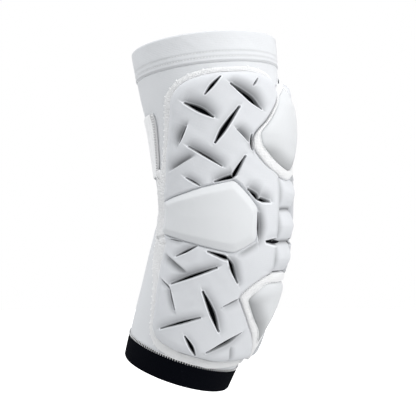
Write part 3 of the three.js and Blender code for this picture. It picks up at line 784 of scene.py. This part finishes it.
class ArmPadColours(bpy.types.PropertyGroup):
    """The cloth's colours."""

    white: cloth_colour("White cloth", "The stretch sleeve and its hem", (0.73, 0.745, 0.765))
    pad: cloth_colour("Pad cloth", "The slit foam pads", (0.69, 0.705, 0.73))
    panel: cloth_colour("Panel cloth", "The smooth panels and the caps", (0.70, 0.715, 0.73))
    tape: cloth_colour("Tape", "Bindings, borders and thread", (0.95, 0.955, 0.96))
    black: cloth_colour("Black elastic", "Wrist band and liner", (0.0015, 0.002, 0.004))


def finish_piece(piece, slot, node, form, flat=None, area=None):
    """Hides the imported solid that the piece stands for; the finish and whether it is padded or a
    sheet are not used.
    """
    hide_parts(node)


def finish_both(near, slot, node, form, **cut):
    """Makes the far twin of a near piece, and hides the imported solid of each."""
    for piece, side in ((near, "near"), (mirrored(near), "far")):
        finish_piece(piece, slot, f"{node}_{side}", form, **cut)


class ARMPAD_OT_materials(bpy.types.Operator):
    """Makes the cloth, tape, elastic and thread finishes"""

    bl_idname = "armpad.materials"
    bl_label = "Materials"

    def execute(self, context):
        group = context.scene.arm_pad_colours
        GROUPS["knit"] = knit_group()
        GROUPS["tone"] = cloth_tone_group()
        white, pad, panel, tape, black = (
            tuple(getattr(group, key)) for key in ArmPadColours.__annotations__)
        for name, shade in (("sleeve_cloth", 0.0), ("hem_cloth", 0.2)):
            cloth_material(name, white, knit=(900, 800), depth=0.00007, tone=0.07, fuzz=1.2,
                           shade=shade)
        cloth_material("pad_cloth", pad, knit=(1300, 1000), depth=0.00005, roughness=0.7,
                       sheen=0.0, tone=0.05, specular=0.12, shade=0.72, gaps=True)
        cloth_material("panel_cloth", panel, knit=(1300, 1000), depth=0.00005, roughness=0.68,
                       shade=0.6)
        cloth_material("cap_cover", panel, knit=(1500, 1500), depth=0.00003, roughness=0.6,
                       sheen=0.1, tone=0.03)
        cloth_material("tape", tape, knit=(500, 900), depth=0.0003, roughness=0.85, tone=0.16,
                       fuzz=2.0)
        cloth_material("ribbed", tape, knit=(60, 900), depth=0.00025, roughness=0.8, shade=0.42)
        cloth_material("black_elastic", black, knit=(420, 600), depth=0.00015, roughness=0.9,
                       sheen=0.0, tone=0.3, specular=0.05)
        cloth_material("black_liner", black, knit=(500, 500), depth=0.0002, roughness=0.9,
                       sheen=0.0)
        cloth_material("thread", tape, knit=(100, 2500), depth=0.00005, roughness=0.6)
        return {"FINISHED"}


class ARMPAD_OT_sleeve(bpy.types.Operator):
    """Makes the stretch sleeve: a thin wall with faint uneven pulls, and with folds in the
    crook that are a sine wave along the arm under a bell"""

    bl_idname = "armpad.sleeve"
    bl_label = "Sleeve"

    def execute(self, context):
        top = UPPER_LENGTH - CUFF_HEIGHT - 0.4
        bottom = -LOWER_LENGTH + BAND_HEIGHT + 0.4
        profile = dense_profile([
            (bottom, 0.0, 220, 1), (top, 0.0, 1, 1),
            (top, -SLEEVE_WALL, 70, 0), (bottom, -SLEEVE_WALL, 1, 0),
        ])

        def relief(angle, along):
            crook = bell(angle - 180, 42) * bell(along + 4, 26)
            folds = 0.55 * np.sin(along / 3.3 + 0.9 * np.sin(np.radians(angle * 2))) * crook
            pulls = 0.3 * soft_noise(angle, along * 0.6, 34, 11)
            return np.clip(folds + pulls - 0.2, 0.4 - SLEEVE_WALL, 0.35) * ease(top - along, 0, 8)

        piece = tube_piece("sleeve_cloth", profile, 200, "sleeve_cloth", relief)
        finish_piece(piece, "sleeve_cloth", "sleeve", "sheet", flat=(0.335, 0.222))
        return {"FINISHED"}


class ARMPAD_OT_cuff(bpy.types.Operator):
    """Makes the folded hem at the top, whose face sinks in a bell at each of its two rows of
    stitches"""

    bl_idname = "armpad.cuff"
    bl_label = "Top hem"

    def execute(self, context):
        top, bottom = UPPER_LENGTH, UPPER_LENGTH - CUFF_HEIGHT
        fold = [(top - 1.6 + 1.6 * math.sin(a), -0.75 + 1.65 * math.cos(a), 1, 1)
                for a in np.linspace(0, math.pi, 9)]
        profile = dense_profile([
            (bottom - 0.3, 0.04, 1, 1), (bottom, 0.3, 3, 1), (bottom + 1.2, 0.75, 70, 1), *fold,
            (bottom, -2.4, 4, 0),
        ])

        def relief(angle, along):
            rows = sum(bell(along - bottom - at, 0.8) for at in HEM_ROWS)
            pulls = 0.22 * soft_noise(angle, along * 2, 22, 5) + 0.12 * soft_noise(angle, along, 5, 6)
            keep = ease(along - bottom, 0.2, 2)
            return (pulls * ease(top - along, 0.5, 6) - 0.22 * rows) * keep

        # painted shade along the hem's lower edge and in its two stitch rows
        def row_shade(angle, along):
            return sum(bell(along - bottom - at, 0.7) for at in (0.6, *HEM_ROWS)) + 0 * angle

        piece = tube_piece("top_hem", profile, 220, "hem_cloth", relief,
                           masks={"shade": row_shade})
        finish_piece(piece, "cuff_cloth", "top_cuff", "sheet", flat=(0.365, 0.025))
        angle, at = np.meshgrid(np.arange(0, 360, 2.4), bottom + np.array(HEM_ROWS))
        lay_stitches("hem_stitches", angle.ravel(), at.ravel(), 0.45, 90.0, 1.5, 0.2)
        return {"FINISHED"}


class ARMPAD_OT_band(bpy.types.Operator):
    """Makes the black elastic band at the wrist end, ribbed by a cosine round the arm"""

    bl_idname = "armpad.band"
    bl_label = "Wrist band"

    def execute(self, context):
        top, bottom = -LOWER_LENGTH + BAND_HEIGHT, -LOWER_LENGTH
        teeth = np.arange(0, 360, 2.5)
        lay_stitches("overlock_stitches", teeth, top + 0.1, 0.65, 12.0, 2.3, 0.26)
        profile = dense_profile([
            (bottom, -1.0, 1, 0), (bottom + 0.2, 0.1, 1, 1), (bottom + 1.0, 0.5, 30, 1),
            (top - 1.0, 0.5, 1, 1), (top - 0.2, 0.1, 1, 1), (top, -1.0, 1, 0),
            (top - 0.2, -1.9, 10, 0), (bottom + 0.2, -1.9, 1, 0),
        ])

        def relief(angle, along):
            ribs = 0.10 * np.cos(np.radians(angle) * 150)
            return ribs + 0.2 * soft_noise(angle, along * 2, 30, 8)

        piece = tube_piece("wrist_elastic", profile, 600, "black_elastic", relief)
        finish_piece(piece, "black_elastic", "wrist_band", "sheet", flat=(0.285, 0.0185))
        return {"FINISHED"}


def shell_piece(name, x, y, face, floor, material, masks=None):
    """A closed padded shell: rows of places with the face's height, carried round each row's
    ends and back along a plain underside, its first and last rows closed."""
    share = np.linspace(1, 0, 22)[None, 1:-1]
    back_x, back_y = (v[:, :1] + (v[:, -1:] - v[:, :1]) * share for v in (x, y))
    loop_x, loop_y = (np.hstack([v] + [v[:, -1:]] * 3 + [back] + [v[:, :1]] * 3)
                      for v, back in ((x, back_x), (y, back_y)))
    under = np.full((len(x), share.size + 2), floor)
    down = floor + (face[:, -1:] - floor) * [0.7, 0.35]
    up = floor + (face[:, :1] - floor) * [0.35, 0.7]
    grid = arm_points(loop_x, loop_y, np.hstack([face, down, under, up]))
    found = {}
    for key, values in (masks or {}).items():
        spare = (len(x), loop_x.shape[1] - x.shape[1])
        found[key] = np.hstack([values, np.full(spare, -9.0 if key == "gap" else 0.0)])
    uv = arm_uv(joined(loop_x, 1), joined(loop_y, 1))
    return lay_mesh(name, grid, uv, material, caps=True, masks=found)


class ARMPAD_OT_slit_pads(bpy.types.Operator):
    """Makes the slit foam pads of both sides on a grid between the pad's inner and outer edge"""

    bl_idname = "armpad.slit_pads"
    bl_label = "Slit pads"

    def execute(self, context):
        size = pad_sizes(context)
        steps = ((430, 200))
        rows = smooth_rows(PAD_ROWS, steps[0])
        share = np.linspace(0, 1, steps[1])[None]
        x = rows[:, 1:2] + (rows[:, 2:3] - rows[:, 1:2]) * share
        y = np.repeat(reach(rows[:, :1]), steps[1], 1)
        face, masks = pad_height(x, y, rows, size)
        near = shell_piece("slit_foam_near", x, y, face, PAD_FLOOR - 0.6, "pad_cloth", masks)
        finish_both(near, "pad_cloth", "slit_pad", "padded")
        return {"FINISHED"}


def panel_grid(rows, middle, share, height):
    """A panel's places and heights by rings: share and height are functions of the outline's
    own share for the tape and of each place along, as columns for the rings."""
    half = smooth_rows(rows, 200)
    both = np.concatenate([half, (half * [1, -1, 1, 1])[-2:0:-1]])
    drawn = share(both[:, 2])
    x = both[:, 1] * drawn
    y = middle + (reach(both[:, 0]) - middle) * drawn
    order = np.argsort(rows[:, 0])
    thick = np.interp(y, reach(rows[order, 0]), rows[order, 3])
    return x, y, height(thick + 0 * drawn, y)


def cushion_grid(rows, middle, full, roll):
    """The bulging cushion: from its middle out over a crowned face, flat in the middle and
    round at the rim, down its side and back underneath. The face's height is the rim's plus
    the rest times the power 0.7 of one minus the ring's share to a power, which falls from
    six at the panel's top to the given roll at its bottom."""
    edge, base, count = 5.0, 0.8, 30
    back = [1.004, 1.0, 0.985, 0.75, 0.5, 0.25, 0.02]
    ring = np.r_[np.linspace(0.02, 1, count) ** 0.7, back][:, None]
    under = np.array([0.65, 0.3, 0.0, 0.0, 0.0, 0.0, 0.0])[:, None]
    waist = reach((rows[0, 0] + rows[-1, 0]) / 2)

    def height(thick, y):
        power = roll + (6 - roll) * ease(y[:count], waist - 14, waist + 12)
        crown = (1 - np.minimum(ring[:count], 1) ** power) ** 0.7
        face = PAD_FLOOR + (edge + (full - edge) * crown) * thick[:count]
        return np.concatenate([face, base + (PAD_FLOOR + edge * thick[count:] - base) * under])

    x, y, face = panel_grid(rows, middle, lambda tape: ring * (tape - 0.01), height)
    return x, y, face, ring + 0 * x


def tape_grid(rows, middle, full):
    """The bound edge: a closed section whose two sides are steep and whose top is rounded, a
    superellipse of power 0.6 in the share of the outline and in the height."""
    base = 0.8
    turn = np.linspace(0, 2 * math.pi, 25)[:-1, None]
    across, up = (0.5 + 0.5 * squarish(wave(turn), 0.6) for wave in (np.cos, np.sin))
    return panel_grid(rows, middle, lambda tape: tape + (0.995 - tape) * across,
                      lambda thick, y: base + (PAD_FLOOR + full * thick - base) * up)


def ring_piece(name, x, y, height, material, capped=True, masks=None):
    """A closed piece from rings: capped on its first and last ring, or joined into a loop."""
    grid = arm_points(x, y, height)
    uv = arm_uv(joined(x, 1), joined(y, 1))
    if capped:
        return lay_mesh(name, grid, uv, material, caps=True, masks=masks)
    piece = lay_mesh(name, joined(grid), joined(uv), material)
    weld(piece)
    return piece


class ARMPAD_OT_panels(bpy.types.Operator):
    """Makes the smooth bulging panels above and below the elbow and their bound edges"""

    bl_idname = "armpad.panels"
    bl_label = "Smooth panels"

    def execute(self, context):
        size = pad_sizes(context)
        for key, rows, middle, roll, widest, blend in (
                ("upper", UPPER_PANEL_ROWS, 46.0, 1.8, 43.0, 0.5),
                ("lower", LOWER_PANEL_ROWS, -52.0, 2.4, -47.0, 0.3)):
            middle = float(reach(middle))
            x, y, height, ring = cushion_grid(rows, middle, size.panel_rise, roll)
            # painted shade on the panel's face below its widest row, darkest towards the bound edge
            side = 0.7 * ease(ring, blend, 1.0) * ease(widest - y, -2, 10)
            panel = ring_piece(f"{key}_cushion", x, y, height, "panel_cloth",
                               masks={"shade": side})
            finish_piece(panel, "panel_cloth", f"{key}_panel", "padded")
            x, y, height = tape_grid(rows, middle, size.binding_rise)
            height = height + (0.22 * soft_noise(x, y, 4, 21) + 0.14 * soft_noise(x, y, 1.8, 22))
            binding = ring_piece(f"{key}_edge_tape", x, y, height, "tape", capped=False)
            finish_piece(binding, "binding_tape", f"{key}_binding", "padded")
            self.stitch(key, rows, middle, size)
        return {"FINISHED"}

    def stitch(self, key, rows, middle, size):
        """A row of stitches down the inner side of the bound edge's tape."""
        half = smooth_rows(rows, 46)[1:-1]
        both = np.concatenate([half, half * [1, -1, 1, 1]])
        share = both[:, 2] + 0.035
        x, y = both[:, 1] * share, middle + (reach(both[:, 0]) - middle) * share
        turn = np.degrees(np.arctan2(np.gradient(x), np.gradient(y)))
        height = PAD_FLOOR + size.binding_rise * both[:, 3] - 0.1
        lay_stitches(f"{key}_edge_stitches", x, y, height, turn, 2.0, 0.32)


class ARMPAD_OT_caps(bpy.types.Operator):
    """Makes the raised cap on each side of the elbow: its face bulges a little to the middle
    and falls along a straight ramp with a soft start, the bevel, to a rounded edge"""

    bl_idname = "armpad.caps"
    bl_label = "Caps"

    def execute(self, context):
        size = pad_sizes(context)
        middle_x, middle_y = 80.0, float(reach(-5))
        inset, sharp = 0.35, 2.5
        turn = np.linspace(0, 2 * np.pi, 240, endpoint=False)
        away = np.linspace(0, 60, 900)
        rays = cap_distance(middle_x + np.cos(turn)[:, None] * away,
                            middle_y + np.sin(turn)[:, None] * away)
        radius = away[np.argmax(rays < inset, axis=1)]
        share = np.r_[0.02, np.linspace(0.1, 0.7, 12), np.linspace(0.72, 1, 34),
                      1, 0.998, 0.985, 0.5, 0.02][:, None]
        x = middle_x + np.cos(turn) * radius * share
        y = middle_y + np.sin(turn) * radius * share
        inward = np.maximum(cap_distance(x, y) - inset, 0)
        top, floor = PAD_FLOOR + size.cap_rise, PAD_FLOOR + size.pocket + 0.4
        slope = np.log1p(np.exp((size.cap_bevel - inward) * sharp)) / sharp
        slope *= size.cap_drop / size.cap_bevel
        bulge = 0.5 * np.clip(inward / 22, 0, 1)
        face = top - 0.5 + bulge - slope - 0.9 * (1 - np.clip(inward / 0.9, 0, 1)) ** 2
        under = np.array([top - 4.6, floor + 0.2, floor, floor, floor])[:, None]
        height = np.concatenate([face[: -len(under)], under + 0 * x[: len(under)]])
        near = ring_piece("cap_cover_near", x, y, height, "cap_cover")
        finish_both(near, "moulded_cap", "cap", "padded")
        return {"FINISHED"}


class ARMPAD_OT_strip(bpy.types.Operator):
    """Makes the middle blocks over the point of the elbow: three pillows in a row, whose
    height is the foam's less a rounded drop at each fold and at the rim"""

    bl_idname = "armpad.strip"
    bl_label = "Elbow blocks"

    def execute(self, context):
        size = pad_sizes(context)
        half, length = 18.15, 46.0
        across = np.linspace(-half, half, 90)[None]
        down = np.linspace(0, 1, 190)[:, None]
        bow = (across / half) ** 2
        top = 13.6 + 3.2 * bow
        bottom = float(reach(-30.3)) + 0.9 - 0.6 * bow
        y = top + (bottom - top) * down
        x = np.broadcast_to(across, y.shape)
        folds = ((-0.6, 0.8), (-17.4, 0.6))  # place along, and how far each droops at its ends
        to_fold = np.minimum(*(np.abs(y - at + droop * bow) for at, droop in folds))
        to_end = np.minimum(down, 1 - down) * length
        pillow = sine_edge(np.minimum(to_fold, to_end + 1.5) + 0.6, 9.6)
        sides = sine_edge(half - np.abs(x), 5.5)
        face = PAD_FLOOR + size.foam + 0.5 - 5.6 * (1 - pillow) - 1.7 * (1 - sides)
        face += 0.15 * soft_noise(x, y, 15, 9)
        # painted shade in the valleys at the sides and along the folds
        valley_shade = 0.42 * bell(half - np.abs(x), 2.8)
        shade = np.maximum(np.clip(1 - to_fold / 2.4, 0, 1) ** 2, valley_shade)
        lens = 1.25 * (1 - (np.abs(np.abs(x) - 20.4) / 11.2) ** 1.6) - to_fold
        pit = 1.0 - np.hypot((np.abs(x) - 15.4) / 1.9, to_fold / 1.15)
        hole = np.where(y < -9, lens, pit)
        piece = shell_piece("elbow_blocks", x, y, face, 0.8, "pad_cloth",
                            {"gap": hole, "shade": shade})
        finish_piece(piece, "pad_cloth", "elbow_strip", "padded")
        return {"FINISHED"}


def path_band(name, path, across, heights, material):
    """A band carried along a path on the arm: its section is a list of distances out from the
    path and heights, and its ends are closed."""
    out = path_sides(path)
    x, y = path[:, :1] + out[:, :1] * across, path[:, 1:] + out[:, 1:] * across
    grid = arm_points(x, y, heights)
    run = np.r_[0, np.cumsum(np.linalg.norm(np.diff(path, axis=0), axis=1))][:, None]
    uv = np.stack(np.broadcast_arrays(joined(across, 1), run), -1) * MM
    return lay_mesh(name, grid, uv, material, caps=True)


class ARMPAD_OT_borders(bpy.types.Operator):
    """Makes the stitched tape beside each slit pad, and its tacks. Its section is the square
    root of half a sine wave, roughened by noise"""

    bl_idname = "armpad.borders"
    bl_label = "Borders"

    def execute(self, context):
        floor, flat = 0.6, 0.9  # heights of the tape's underside and of its edges
        path = pad_outline(smooth_rows(PAD_ROWS, 420))[1]
        percent = path[:, 1] / np.where(path[:, 1] > 0, PAD_UP, PAD_DOWN) * 100
        wide = np.interp(percent, BORDER_ROWS[:, 0], BORDER_ROWS[:, 1])[:, None]
        turn = np.linspace(0, np.pi, 26)[None]
        place = np.hstack([0.5 - 0.5 * np.cos(turn), [[0.97, 0.7, 0.3, 0.03]]])
        bulge = np.sqrt(np.sin(turn)) * (1.0 + 0.045 * wide)
        lift = np.hstack([flat + bulge, np.full((len(path), 4), floor)])
        run = np.arange(len(path))[:, None] * 0.8
        across = place * wide
        nap = 0.2 * soft_noise(run, across, 4, 31) + 0.12 * soft_noise(run, across, 1.8, 32)
        notch = bell(path[:, 1:] + 27, 1.1) * (path[:, :1] > 60)
        lift = np.maximum(lift + (nap - 1.3 * notch) * (lift > 1.2), floor)
        near = path_band("border_tape_near", path, 0.4 + across, lift, "tape")
        finish_both(near, "binding_tape", "border", "sheet", flat=(0.021, 0.31), area=0.0036)
        self.tack(path, wide)
        return {"FINISHED"}

    def tack(self, path, wide):
        """Tacks across the tape's two edges, in leaning pairs, every few millimetres."""
        out = path_sides(path)
        turn = np.degrees(np.arctan2(out[:, 0], out[:, 1]))
        spots = np.arange(30, len(path) - 30, 9)
        rows = []
        for off, lean in ((wide[spots] - 0.2, 24), (wide[spots] - 0.2, -24), (0.9, 8)):
            rows.append(np.c_[path[spots] + out[spots] * off, turn[spots] + lean])
        x, y, lean = np.vstack(rows).T
        near = lay_stitches("border_tacks_near", x, y, 1.9, lean, 2.6, 0.3)
        mirrored(near)


class ARMPAD_OT_liners(bpy.types.Operator):
    """Makes the thin black sheet that shows through the slits, inside the pad's outline"""

    bl_idname = "armpad.liners"
    bl_label = "Liners"

    def execute(self, context):
        rows = smooth_rows(PAD_ROWS[3:25], 80)
        share = np.linspace(0, 1, 40)[None]
        inset = 5.0
        inner, outer = rows[:, 1:2] + inset, rows[:, 2:3] - inset
        x = inner + (outer - inner) * share
        y = np.repeat(reach(rows[:, :1]), 40, 1)
        face = np.full(x.shape, 1.7)
        near = shell_piece("liner_sheet_near", x, y, face, 0.9, "black_liner")
        finish_both(near, "black_liner", "liner", "sheet", flat=(0.085, 0.19), area=0.0135)
        return {"FINISHED"}


class ARMPAD_OT_rib_panel(bpy.types.Operator):
    """Makes the ribbed stretch panel across the crook's side of the upper arm. Its ribs are
    the size of a sine wave across, and two rails run beside each end's ladder of stitches"""

    bl_idname = "armpad.rib_panel"
    bl_label = "Ribbed panel"

    def execute(self, context):
        down = np.linspace(0, 1, 120)[:, None]
        across = np.linspace(0, 1, 150)[None]
        near = RIB_START + RIB_LEAN * down + 4 * np.abs(2 * down - 1) ** 4
        x = near + (360 - 2 * near) * across
        y = np.broadcast_to(RIB_TOP - RIB_HEIGHT * down, x.shape)
        ribs = 0.3 * np.abs(np.sin((x - near) * np.pi / 4.5))
        mean_width = 110.0
        rim = np.minimum(across, 1 - across) * mean_width
        edge = round_edge(rim, 2.0) * round_edge(np.minimum(down, 1 - down), 1 / 28)
        rail = 0.5 * bell(rim - 5.2, 0.6) + 0.5 * bell(rim - 1.6, 0.6)
        face = 0.7 + (0.5 + ribs * ease(rim, 5, 8) + rail) * edge
        # painted shade: a band under each ladder of stitches and a line at the panel's edge
        groove = bell(rim - 3.4, 2.0, 6) + bell(rim - 0.4, 0.6)
        piece = shell_piece("ribbed_panel", x, y, face, 0.65, "ribbed",
                            {"shade": np.broadcast_to(groove, x.shape)})
        finish_piece(piece, "ribbed_elastic", "rib_panel", "sheet", flat=(0.102, 0.047))
        self.ladder()
        return {"FINISHED"}

    def ladder(self):
        """The ladder of stitches beside each end of the panel, and the tack that ends it."""
        at = np.linspace(31, 73, 23)
        near = RIB_START + RIB_LEAN * (RIB_TOP - at) / RIB_HEIGHT + 3.4
        angle, along = np.r_[near, 360 - near], np.r_[at, at]
        lay_stitches("ladder_stitches", angle, along, 1.9, 90.0, 3.4, 0.34)
        turn = np.linspace(0, 2 * np.pi, 40, endpoint=False)[None]
        ring = np.array([0.02, 0.5, 0.75, 0.9, 1, 1, 0.9, 0.02])[:, None]
        up = np.array([3.0, 2.9, 2.6, 2.0, 1.2, 0.7, 0.7, 0.7])[:, None]
        for key, middle in (("near", 131.5), ("far", 228.5)):
            x = middle + 5.0 * ring * squarish(np.cos(turn), 0.7)
            y = 28.5 + 4.2 * ring * squarish(np.sin(turn), 0.7)
            groove = 0.7 * bell(x - middle, 0.8) * (up > 1.5)
            tab = ring_piece(f"end_tack_{key}", x, y, up - groove, "tape")


# Camera and light, from the view that the photo was taken at
VIEW_AZIMUTH = math.radians(20.0)
VIEW_ELEVATION = math.radians(-1.0)
VIEW_DISTANCE = 0.8
FRAME_WIDTH = 0.32448  # metres across the frame at the object
VIEW_SHIFT = -0.01053  # the frame's middle lies this far to the left of the elbow
FLOOR_LEVEL = -0.32
FLOOR_RADIUS = 3.0

# Each light: place in metres, size, power in watts and colour
LIGHTS = {
    "key": ((1.06, -0.3, 0.5), 0.7, 6.7, (1.0, 0.99, 0.98)),
    "top": ((0.1, -0.4, 1.4), 0.7, 4.8, (1.0, 1.0, 1.0)),
    "fill": ((-0.9, -0.3, 1.2), 0.7, 4.6, (0.97, 0.98, 1.0)),
    "back": ((-0.6, 1.0, 0.5), 0.8, 2.0, (1.0, 1.0, 1.0)),
}


def add_area(name, place, size, power, colour):
    """A round area light that looks at the elbow."""
    data = bpy.data.lights.new(name, "AREA")
    data.shape = "DISK"
    data.size = size
    data.energy = power
    data.color = colour
    light = add_object(name, data)
    light.location = place
    light.rotation_euler = (-Vector(place)).to_track_quat("-Z", "Y").to_euler()


class ARMPAD_OT_stage(bpy.types.Operator):
    """Makes the floor, the lights and the camera"""

    bl_idname = "armpad.stage"
    bl_label = "Stage"

    def execute(self, context):
        floor = bpy.data.meshes.new("floor")
        turn = np.linspace(0, 2 * np.pi, 65)[:-1]
        disc = np.stack([FLOOR_RADIUS * np.cos(turn), FLOOR_RADIUS * np.sin(turn),
                         np.full(64, FLOOR_LEVEL)], 1)
        floor.from_pydata(disc.tolist(), [], [list(range(64))])
        paper = bpy.data.materials.new("white_paper")
        paper.use_nodes = True
        shader = paper.node_tree.nodes["Principled BSDF"]
        set_inputs(shader, {"Base Color": (0.6, 0.6, 0.6, 1), "Roughness": 0.9,
                            "Emission Color": (1, 1, 1, 1)})
        rays = paper.node_tree.nodes.new("ShaderNodeLightPath")
        paper.node_tree.links.new(rays.outputs["Is Camera Ray"], shader.inputs["Emission Strength"])
        floor.materials.append(paper)
        add_object("floor", floor)
        self.light(context)
        self.camera(context)
        return {"FINISHED"}

    def light(self, context):
        """Soft lights in a pale world that the camera sees as plain white."""
        world = bpy.data.worlds.new("studio")
        context.scene.world = world
        world.use_nodes = True
        tree = world.node_tree
        seen = tree.nodes.new("ShaderNodeBackground")
        set_inputs(seen, {"Strength": 1.0, "Color": (1, 1, 1, 1)})
        lit = tree.nodes["Background"]
        set_inputs(lit, {"Strength": 0.82, "Color": (0.98, 0.99, 1.0, 1)})
        rays = tree.nodes.new("ShaderNodeLightPath")
        mix = tree.nodes.new("ShaderNodeMixShader")
        tree.links.new(rays.outputs["Is Camera Ray"], mix.inputs["Fac"])
        tree.links.new(lit.outputs[0], mix.inputs[1])
        tree.links.new(seen.outputs[0], mix.inputs[2])
        tree.links.new(mix.outputs[0], tree.nodes["World Output"].inputs["Surface"])
        for name, light in LIGHTS.items():
            add_area(name, *light)

    def camera(self, context):
        """A camera at the photo's viewing angle."""
        data = bpy.data.cameras.new("camera")
        data.sensor_width = 36.0
        data.lens = 36.0 * VIEW_DISTANCE / FRAME_WIDTH
        camera = add_object("camera", data)
        look = Vector((-math.sin(VIEW_AZIMUTH) * math.cos(VIEW_ELEVATION),
                       math.cos(VIEW_AZIMUTH) * math.cos(VIEW_ELEVATION),
                       -math.sin(VIEW_ELEVATION)))
        right = Vector((math.cos(VIEW_AZIMUTH), math.sin(VIEW_AZIMUTH), 0.0))
        camera.location = right * VIEW_SHIFT - look * VIEW_DISTANCE
        camera.rotation_euler = look.to_track_quat("-Z", "Y").to_euler()
        context.scene.camera = camera
        context.scene.view_settings.view_transform = "Standard"


class ARMPAD_PT_panel(bpy.types.Panel):
    """Lists the pad's pieces in the sidebar"""

    bl_idname = "ARMPAD_PT_panel"
    bl_label = "Arm Pad"
    bl_space_type = "VIEW_3D"
    bl_region_type = "UI"
    bl_category = "Arm Pad"

    def draw(self, context):
        for group in (context.scene.arm_pad_sizes, context.scene.arm_pad_colours):
            for key in group.__annotations__:
                self.layout.prop(group, key)
        for operator in OPERATORS:
            self.layout.operator(operator.bl_idname)


OPERATORS = (
    ARMPAD_OT_materials, ARMPAD_OT_stage, ARMPAD_OT_sleeve, ARMPAD_OT_cuff, ARMPAD_OT_band,
    ARMPAD_OT_rib_panel, ARMPAD_OT_liners, ARMPAD_OT_slit_pads, ARMPAD_OT_borders, ARMPAD_OT_caps,
    ARMPAD_OT_strip, ARMPAD_OT_panels,
)
CLASSES = (ArmPadSizes, ArmPadColours, *OPERATORS, ARMPAD_PT_panel)


def register():
    """Registers the classes and ties the sizes and colours to the scene."""
    for cls in CLASSES:
        bpy.utils.register_class(cls)
    bpy.types.Scene.arm_pad_sizes = PointerProperty(type=ArmPadSizes)
    bpy.types.Scene.arm_pad_colours = PointerProperty(type=ArmPadColours)


def unregister():
    """Undoes what register did, in reverse."""
    del bpy.types.Scene.arm_pad_colours
    del bpy.types.Scene.arm_pad_sizes
    for cls in reversed(CLASSES):
        bpy.utils.unregister_class(cls)


def main():
    """Builds every piece and the stage."""
    register()
    for operator in OPERATORS:
        group, name = operator.bl_idname.split(".")
        getattr(getattr(bpy.ops, group), name)()
    bpy.context.view_layer.update()


if __name__ == "__main__":
    main()
